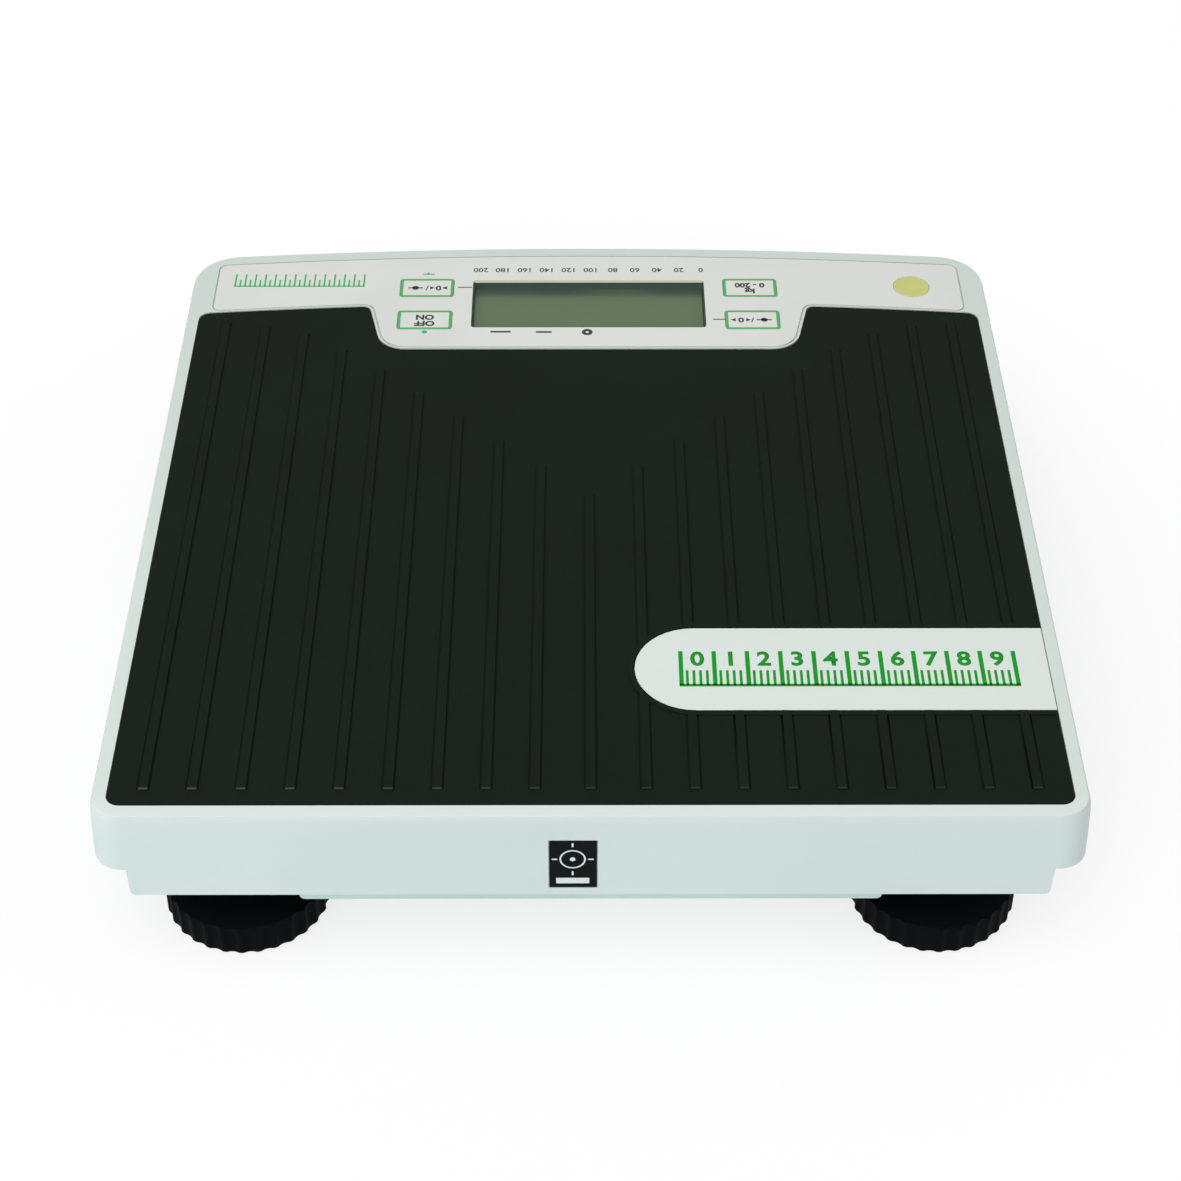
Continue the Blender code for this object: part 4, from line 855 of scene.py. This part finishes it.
def printBand():
    tick, dot, ring, row = band["tick"], band["dot"], band["ring"], band["row"]
    x, y = tick["centre"]
    stem = tick["stem"] / 2
    parts = [addBar((x, y), *tick["bar"]), addPatch((x - stem, y), (x + stem, y + tick["rise"]))]
    parts.append(addDisc(dot["centre"], dot["radius"]))
    printOn(parts + addRule(band["rule"]), "bandMarks", "softGreen")
    parts = [addPatch(stroke[:2], stroke[2:]) for stroke in band["strokes"]]
    for index, number in enumerate(row["numbers"]):
        place = (row["start"] + row["step"] * index, row["y"])
        parts.append(addLetters(str(number), place, row["size"], bold=row["bold"]))
    parts.append(addRing(ring["centre"], ring["radius"], ring["line"]))
    printOn(parts, "bandInk", "ink")
    # the cream strip along the window's far edge is a painted highlight of the overlay's lit cut edge
    edge = band["windowEdgeHighlight"]
    printOn([addPatch(edge[:2], edge[2:])], "windowEdgeHighlight", "cream")


makeOverlay()
for keyName in keyNames:
    makeKey(keyName)
printBand()
print("display band is printed")


# Display

display = {
    "lcd": (0.118, 0.172, 0.092), "lcdRough": 0.35, "lcdShine": 0.08, "lcdEdge": 0.2 * mm,
    "cloud": (30.0, 2.0), "cloudBand": (0.3, 0.7), "cloudShare": 0.3, "cloudTone": 1.08, "cloudRough": 0.06,
    "shade": (0.042, 0.075, 0.056), "shadeStart": 8.0 * mm, "shadeEnd": 13.5 * mm, "frameEdge": 0.15 * mm,
    "film": (0.5, 0.54, 0.5), "filmRough": 0.05, "filmShine": 0.2, "filmEdge": 0.12 * mm,
    "smear": (60.0, 3.0, 0.6), "smearBand": (0.55, 0.8), "smearRough": 0.06,
    "clearAlpha": 0.02, "smearAlpha": 0.02,
}


def makePanel():
    # the blank display with a painted shadow of the recess wall towards its far edge, in its frame
    paint = Paint("lcdGlass", display["lcd"], display["lcdRough"], Specular_IOR_Level=display["lcdShine"])
    cloud = paint.noise(*display["cloud"])
    _, y, _ = paint.axes((0.0, middle("display_window").y, 0.0))
    base = paint.mix(y.soft(display["shadeStart"], display["shadeEnd"]), display["lcd"], display["shade"])
    lighter = [value * display["cloudTone"] for value in display["lcd"]]
    share = cloud.soft(*display["cloudBand"]) * display["cloudShare"]
    paint.set("Base Color", paint.mix(share, base, lighter))
    paint.set("Roughness", display["lcdRough"] + cloud * display["cloudRough"])
    panel = refine("lcd_panel", display["lcdEdge"], 1)
    fit(panel, "root", "lcd", paint.material, "lcd_panel")
    surround = refine("lcd_frame", display["frameEdge"], 1)
    fit(surround, "root", "label", looks["surround"], "lcd_frame")


def makeFilm():
    rough, shine = display["filmRough"], display["filmShine"]
    paint = Paint("windowFilm", display["film"], rough, Specular_IOR_Level=shine)
    smear = paint.noise(*display["smear"])
    paint.set("Alpha", display["clearAlpha"] + smear.soft(*display["smearBand"]) * display["smearAlpha"])
    paint.set("Roughness", rough + smear * display["smearRough"])
    film = refine("display_window", display["filmEdge"])
    fit(film, "root", "window", paint.material, "display_window")


makePanel()
makeFilm()
print("display is fitted")


# Bubble level

level = {
    "radius": 7.25 * mm, "steps": 72, "belowTop": 0.03 * mm, "wall": 0.9 * mm, "lip": 0.12 * mm,
    "edge": 0.06 * mm, "colour": (0.565, 0.59, 0.16), "rough": 0.14, "cloudRough": 0.08,
    "rim": (0.59, 0.60, 0.25), "rimBand": (5.8 * mm, 6.8 * mm),
    "cloud": (0.58, 0.57, 0.165), "cloudNoise": (180.0, 2.0), "cloudBand": (0.3, 0.7), "cloudShare": 0.25,
    "air": (0.585, 0.61, 0.18), "airShare": 0.5, "bubble": 2.1 * mm, "bubbleSoft": 0.85,
    "bubbleAside": 0.4 * mm, "bubbleBack": -0.3 * mm,
}


def levelLook(x, y):
    # yellow liquid, paler at the rim, with the bubble a little off the middle
    paint = Paint("levelLiquid", level["colour"], level["rough"])
    bubble = paint.reach(x + level["bubbleAside"], y + level["bubbleBack"])
    bubble = bubble.soft(level["bubble"] * level["bubbleSoft"], level["bubble"], level["airShare"], 0.0)
    cloud = paint.noise(*level["cloudNoise"])
    base = paint.mix(paint.reach(x, y).soft(*level["rimBand"]), level["colour"], level["rim"])
    base = paint.mix(cloud.soft(*level["cloudBand"]) * level["cloudShare"], base, level["cloud"])
    paint.set("Base Color", paint.mix(bubble, base, level["air"]))
    paint.set("Roughness", level["rough"] + cloud * level["cloudRough"])
    return paint.material


def makeLevel():
    low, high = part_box("level_vial")
    x, y, _ = middle("level_vial")
    vial = addRod("levelVial", (x, y), level["radius"], low.z, high.z - level["belowTop"], level["steps"])
    pickFaces(vial, lambda centre, normal: normal.z > 0.9)
    stepFace(level["wall"], -level["lip"])
    done()
    soften(vial, level["edge"])
    shade(vial)
    fit(vial, "root", "vial", levelLook(x, y), "level_vial")


makeLevel()
print("bubble level is set")


# Front label: its print is drawn flat, in millimetres, with its height along y, and then stood up

label = {
    "edge": 0.08 * mm, "ink": 0.02 * mm, "bar": (-11.3, 33.2, -0.5, 35.8),
    "centre": (-5.9, 44.6), "ring": 4.3, "ringLine": 0.55, "dot": 0.9,
    "tickWidth": 0.6, "tickLength": 1.8, "tickRise": 6.6, "tickReach": 5.9,
}


def makeLabel():
    plate = refine("front_label", label["edge"], 1)
    fit(plate, "root", "label", looks["label"], "front_label")
    x, z = label["centre"]
    width, length = label["tickWidth"], label["tickLength"]
    parts = [addPatch(label["bar"][:2], label["bar"][2:]), addRing((x, z), label["ring"], label["ringLine"])]
    parts += [addBar((x, z + side * label["tickRise"]), width, length) for side in (-1, 1)]
    parts += [addBar((x + side * label["tickReach"], z), length, width) for side in (-1, 1)]
    parts.append(addDisc((x, z), label["dot"]))
    piece = weld(parts, "labelPrint")
    turnUp(piece)
    thicken(piece, label["ink"])
    # the flat print stands up against the front face
    piece.data.transform(Matrix.Translation((0, 0, -printTop)))
    piece.data.transform(Matrix.Rotation(math.pi / 2, 4, "X"))
    piece.data.transform(Matrix.Translation((0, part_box("front_label")[0].y, 0)))
    fit(piece, "root", "label", looks["white"])


makeLabel()
print("label is printed")


# Badge rule

badge = {
    "start": 30.0, "end": 145.0, "low": -101.4, "base": 1.3, "count": 50, "every": 5,
    "tall": 17.6, "tallLine": 1.5, "short": 8.0, "shortLine": 0.95,
    "digit": 9.6, "digitBold": 0.3, "digitAside": 0.7, "digitRise": 13.4,
}


def makeBadgeRule():
    parts = addRule(badge)
    digits = badge["count"] // badge["every"]
    step = (badge["end"] - badge["start"] - badge["tallLine"]) / digits
    for digit in range(digits):
        x = badge["start"] + step * (digit + 0.5) + badge["digitAside"]
        place = (x, badge["low"] + badge["digitRise"])
        parts.append(addLetters(str(digit), place, badge["digit"], False, badge["digitBold"]))
    printOn(parts, "badgeRule", "green", slot="badge")


makeBadgeRule()
print("badge is printed")


# Feet: wheel, stud and pad are modelled once, on the origin, and copied to the corners

wheelSize = {
    "radius": 28.0 * mm, "low": 1.0 * mm, "high": 12.5 * mm, "steps": 180,
    "rim": 1.2 * mm, "rimSteps": 4, "lowRim": 0.5 * mm, "lowRimSteps": 2,
    "flutes": 30, "fluteDepth": 0.9 * mm, "fluteRadius": 4.2 * mm, "fluteSteps": 40, "overrun": 2.0 * mm,
    "dish": 21.5 * mm, "dishDepth": 0.7 * mm, "hub": 9.5 * mm, "hubRise": 0.5 * mm,
    "bore": 5.3 * mm, "boreDepth": 4.5 * mm, "recess": 22.3 * mm, "recessDepth": 3.0 * mm,
    "pin": 4.3 * mm, "pinDepth": 2.5 * mm, "edge": 0.18 * mm, "edgeAngle": 38, "smooth": 32,
}
studSize = {
    "radius": 5.0 * mm, "core": 4.2 * mm, "low": 8.3 * mm, "high": 46.8 * mm, "steps": 48, "end": 0.6 * mm,
    "pitch": 1.5 * mm, "turns": 24, "turnSteps": 28, "start": 0.6, "root": 0.85, "crest": 0.22,
    "buried": 0.2 * mm, "smooth": 30,  # start and root are shares of the pitch, crest is a share of the root
}
padSize = {
    "radius": 22.0 * mm, "high": 3.7 * mm, "steps": 96, "rim": 0.5 * mm, "pin": 4.0 * mm, "pinRise": 2.5 * mm,
    "rings": (2.2 * mm, 1.6 * mm, 3.4 * mm, 1.6 * mm, 3.4 * mm, 1.6 * mm), "grooveDepth": 0.7 * mm,
    "edge": 0.15 * mm, "edgeAngle": 50, "smooth": 32,
}


def cutFlutes(wheel):
    size = wheelSize
    half = math.pi / size["flutes"]
    reach = size["radius"] - size["fluteDepth"] + size["fluteRadius"]
    place = (reach * math.sin(half), -reach * math.cos(half))
    low, high = size["low"] - size["overrun"], size["high"] + size["overrun"]
    tool = addRod("flute", place, size["fluteRadius"], low, high, size["fluteSteps"])
    edit(tool, everything=True)
    bpy.ops.mesh.spin(steps=size["flutes"] - 1, dupli=True, angle=2 * math.pi - 2 * half,
                      center=(0, 0, 0), axis=(0, 0, 1))
    done()
    carve(wheel, tool)


def makeWheel():
    size = wheelSize
    wheel = addRod("wheel", (0, 0), size["radius"], size["low"], size["high"], size["steps"])
    bevelRim(wheel, size["high"], size["rim"], size["rimSteps"])
    bevelRim(wheel, size["low"], size["lowRim"], size["lowRimSteps"])
    pickCap(wheel, 1)
    stepFace(size["radius"] - size["rim"] - size["dish"], -size["dishDepth"])
    stepFace(size["dish"] - size["hub"], size["hubRise"])
    stepFace(size["hub"] - size["bore"], size["dishDepth"] - size["hubRise"] - size["boreDepth"])
    done()
    pickCap(wheel, -1)
    stepFace(size["radius"] - size["lowRim"] - size["recess"], size["recessDepth"])
    stepFace(size["recess"] - size["pin"], size["pinDepth"])
    done()
    cutFlutes(wheel)
    soften(wheel, size["edge"], 2, size["edgeAngle"])
    shade(wheel, size["smooth"])
    return wheel


def makeThread():
    # one profile, narrower at its crest, screwed up the stud
    size = studSize
    deselect()
    root = size["core"] - size["buried"]
    place = ((root + size["radius"]) / 2, 0, size["low"] + size["pitch"] * size["start"])
    bpy.ops.mesh.primitive_plane_add(size=1, location=place, rotation=(math.pi / 2, 0, 0))
    thread = named("studThread")
    thread.scale = (size["radius"] - root, size["pitch"] * size["root"], 1)
    settle(thread)
    pickEdges(thread, lambda a, b: min(a.x, b.x) > size["core"])
    bpy.ops.transform.resize(value=(1, 1, size["crest"]))
    done()
    edit(thread, everything=True)
    bpy.ops.mesh.delete(type="ONLY_FACE")
    done()
    modify(thread, "SCREW", screw_offset=size["pitch"], iterations=size["turns"], steps=size["turnSteps"],
           render_steps=size["turnSteps"], use_merge_vertices=True, merge_threshold=mergeGap)
    edit(thread, "VERT")
    bpy.ops.mesh.select_non_manifold()
    bpy.ops.mesh.fill_holes(sides=0)
    bpy.ops.mesh.select_all(action="SELECT")
    bpy.ops.mesh.normals_make_consistent(inside=False)
    done()
    return thread


def makeStud():
    size = studSize
    core = addRod("studCore", (0, 0), size["core"], size["low"], size["high"], size["steps"])
    soften(core, size["end"])
    stud = weld([core, makeThread()], "stud")
    shade(stud, size["smooth"])
    return stud


def makePad():
    size = padSize
    pad = addRod("pad", (0, 0), size["radius"], 0.0, size["high"], size["steps"])
    bevelRim(pad, 0.0, size["rim"], 2)
    pickCap(pad, -1)
    for index, width in enumerate(size["rings"]):
        stepFace(width, -size["grooveDepth"] if index % 2 else size["grooveDepth"])
    done()
    pickCap(pad, 1)
    stepFace(size["radius"] - size["pin"], size["pinRise"])
    done()
    soften(pad, size["edge"], 2, size["edgeAngle"])
    shade(pad, size["smooth"])
    return pad


def makeFeet():
    masters = (("wheel", makeWheel(), "wheel", "wheel_"), ("stud", makeStud(), "zinc", "wheel_"),
               ("pad", makePad(), "pad", "pad_"))
    for corner in corners:
        x, y, _ = middle("foot_stud_" + corner)
        for kind, master, look, body in masters:
            piece = copyAt(master, kind + "_" + corner, (x, y, 0.0))
            fit(piece, body + corner, kind, looks[look], "foot_" + kind + "_" + corner)
    for _, master, _, _ in masters:
        bpy.data.objects.remove(master, do_unlink=True)


makeFeet()
print("feet are turned and threaded")


# Fasteners, door and power

screwSize = {
    "head": 2.8 * mm, "headLow": 25.7 * mm, "seat": 27.5 * mm, "shank": 1.5 * mm, "tip": 39.5 * mm,
    "steps": 40, "round": 0.8 * mm, "roundSteps": 4, "edge": 0.08 * mm, "smooth": 32, "turn": 0.7,
    "slot": 0.75 * mm, "slotReach": 1.7 * mm, "slotDepth": 0.9 * mm, "overrun": 1.0 * mm,
}
doorSize = {
    "edge": 0.3 * mm, "gripInset": 6.0 * mm, "gripDepth": 1.0 * mm, "bars": 5, "barPitch": 2.4 * mm,
    "barWidth": 9.0 * mm, "barTaper": 2.2 * mm, "barDepth": 0.7 * mm, "barRise": 0.8 * mm,
    "sunk": 0.1 * mm, "barEdge": 0.15 * mm,
}
cell = {
    "count": 4, "edge": 0.15 * mm, "rough": 0.28, "scuffRough": 0.12, "collarMetal": 0.7,
    "capFrom": 24.5 * mm, "collarFrom": 13.0 * mm,
    "jacket": (0.045, 0.065, 0.11), "collar": (0.42, 0.30, 0.12), "cap": (0.60, 0.59, 0.56),
    "scuff": (300.0, 3.0, 0.6), "scuffBand": (0.6, 0.75), "scuffShare": 0.3, "scuffed": (0.3, 0.3, 0.3),
}


def makeScrews():
    size = screwSize
    screw = addRod("screw", (0, 0), size["head"], size["headLow"], size["seat"], size["steps"])
    bevelRim(screw, size["headLow"], size["round"], size["roundSteps"])
    pickCap(screw, 1)
    stepFace(size["head"] - size["shank"], size["tip"] - size["seat"])
    done()
    low, high = size["headLow"] - size["overrun"], size["headLow"] + size["slotDepth"]
    for x, y in ((size["slotReach"], size["slot"] / 2), (size["slot"] / 2, size["slotReach"])):
        carve(screw, addBox("slot", (-x, -y, low), (x, y, high)))
    soften(screw, size["edge"], 1)
    shade(screw, size["smooth"])
    for index, corner in enumerate(corners):
        x, y, _ = middle("cover_screw_" + corner)
        piece = copyAt(screw, "screw_" + corner, (x, y, 0.0), index * size["turn"])
        fit(piece, "root", "zinc", looks["zinc"], "cover_screw_" + corner)
    bpy.data.objects.remove(screw, do_unlink=True)


def makeDoor():
    size = doorSize
    lid = refine("battery_door", size["edge"])
    fit(lid, "door", "tray", looks["tray"], "battery_door")
    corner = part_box("battery_door")[0]
    gripFloor = corner.z + size["gripDepth"]
    bars = []
    for index in range(size["bars"]):
        step = index - (size["bars"] - 1) // 2  # the middle bar is the longest
        y = corner.y + size["gripInset"] + step * size["barPitch"]
        half = (size["barWidth"] - abs(step) * size["barTaper"]) / 2
        low = (-half, y - size["barDepth"] / 2, gripFloor - size["barRise"])
        bar = addBox("bar", low, (half, y + size["barDepth"] / 2, gripFloor + size["sunk"]))
        soften(bar, size["barEdge"])
        bars.append(bar)
    fit(weld(bars, "doorGrip"), "door", "tray", looks["tray"])


def makeBattery(number):
    # a printed jacket with a collar at one end and bare metal caps, every other cell turned round
    paint = Paint(f"cellJacket{number}", cell["jacket"], cell["rough"])
    _, y, _ = paint.axes()
    way = -1 if number % 2 else 1
    cap = y.abs().over(cell["capFrom"])
    collar = (y * way).over(cell["collarFrom"])
    scuff = paint.noise(*cell["scuff"])
    base = paint.mix(collar, cell["jacket"], cell["collar"])
    base = paint.mix(scuff.soft(*cell["scuffBand"]) * cell["scuffShare"], base, cell["scuffed"])
    paint.set("Base Color", paint.mix(cap, base, cell["cap"]))
    paint.set("Metallic", cap.most(collar * cell["collarMetal"]))
    paint.set("Roughness", cell["rough"] + scuff * cell["scuffRough"])
    node = f"battery_{number}"
    fit(refine(node, cell["edge"]), "root", "battery", paint.material, node)


makeScrews()
makeDoor()
for cellNumber in range(1, cell["count"] + 1):
    makeBattery(cellNumber)
print("fasteners, door and power are fitted")


# Inner pieces keep their solids and take finishes

board = {
    "mask": (0.012, 0.10, 0.035), "track": (0.03, 0.19, 0.07), "chip": (0.035, 0.035, 0.037),
    "rough": 0.34, "roughNoise": 500.0, "roughShare": 0.15, "cells": 420.0, "trackWidth": 0.06,
    "chipsBelow": 56.7 * mm,
}


def boardLook():
    # green mask with lighter tracks, and dark parts under the board
    paint = Paint("circuitBoard", board["mask"], board["rough"])
    _, _, z = paint.axes()
    tracks = paint.cells(board["cells"], "DISTANCE_TO_EDGE").under(board["trackWidth"])
    mask = paint.mix(tracks, board["mask"], board["track"])
    paint.set("Base Color", paint.mix(z.under(board["chipsBelow"]), mask, board["chip"]))
    paint.set("Roughness", board["rough"] + paint.noise(board["roughNoise"]) * board["roughShare"])
    return paint.material


looks["board"] = boardLook()
innerLooks = {
    "load_cell": "aluminium", "cell_bolt": "zinc", "foot_bush": "brass", "contact_strip": "nickel",
    "cell_lead": "greySheath", "battery_lead": "redSheath", "battery_box": "box",
    "platform_plate": "steel", "level_cup": "cup", "main_board": "board",
}
for node in nodes:
    for start, look in innerLooks.items():
        if node.startswith(start):
            dress(node, looks[look])
print("inner pieces are dressed")
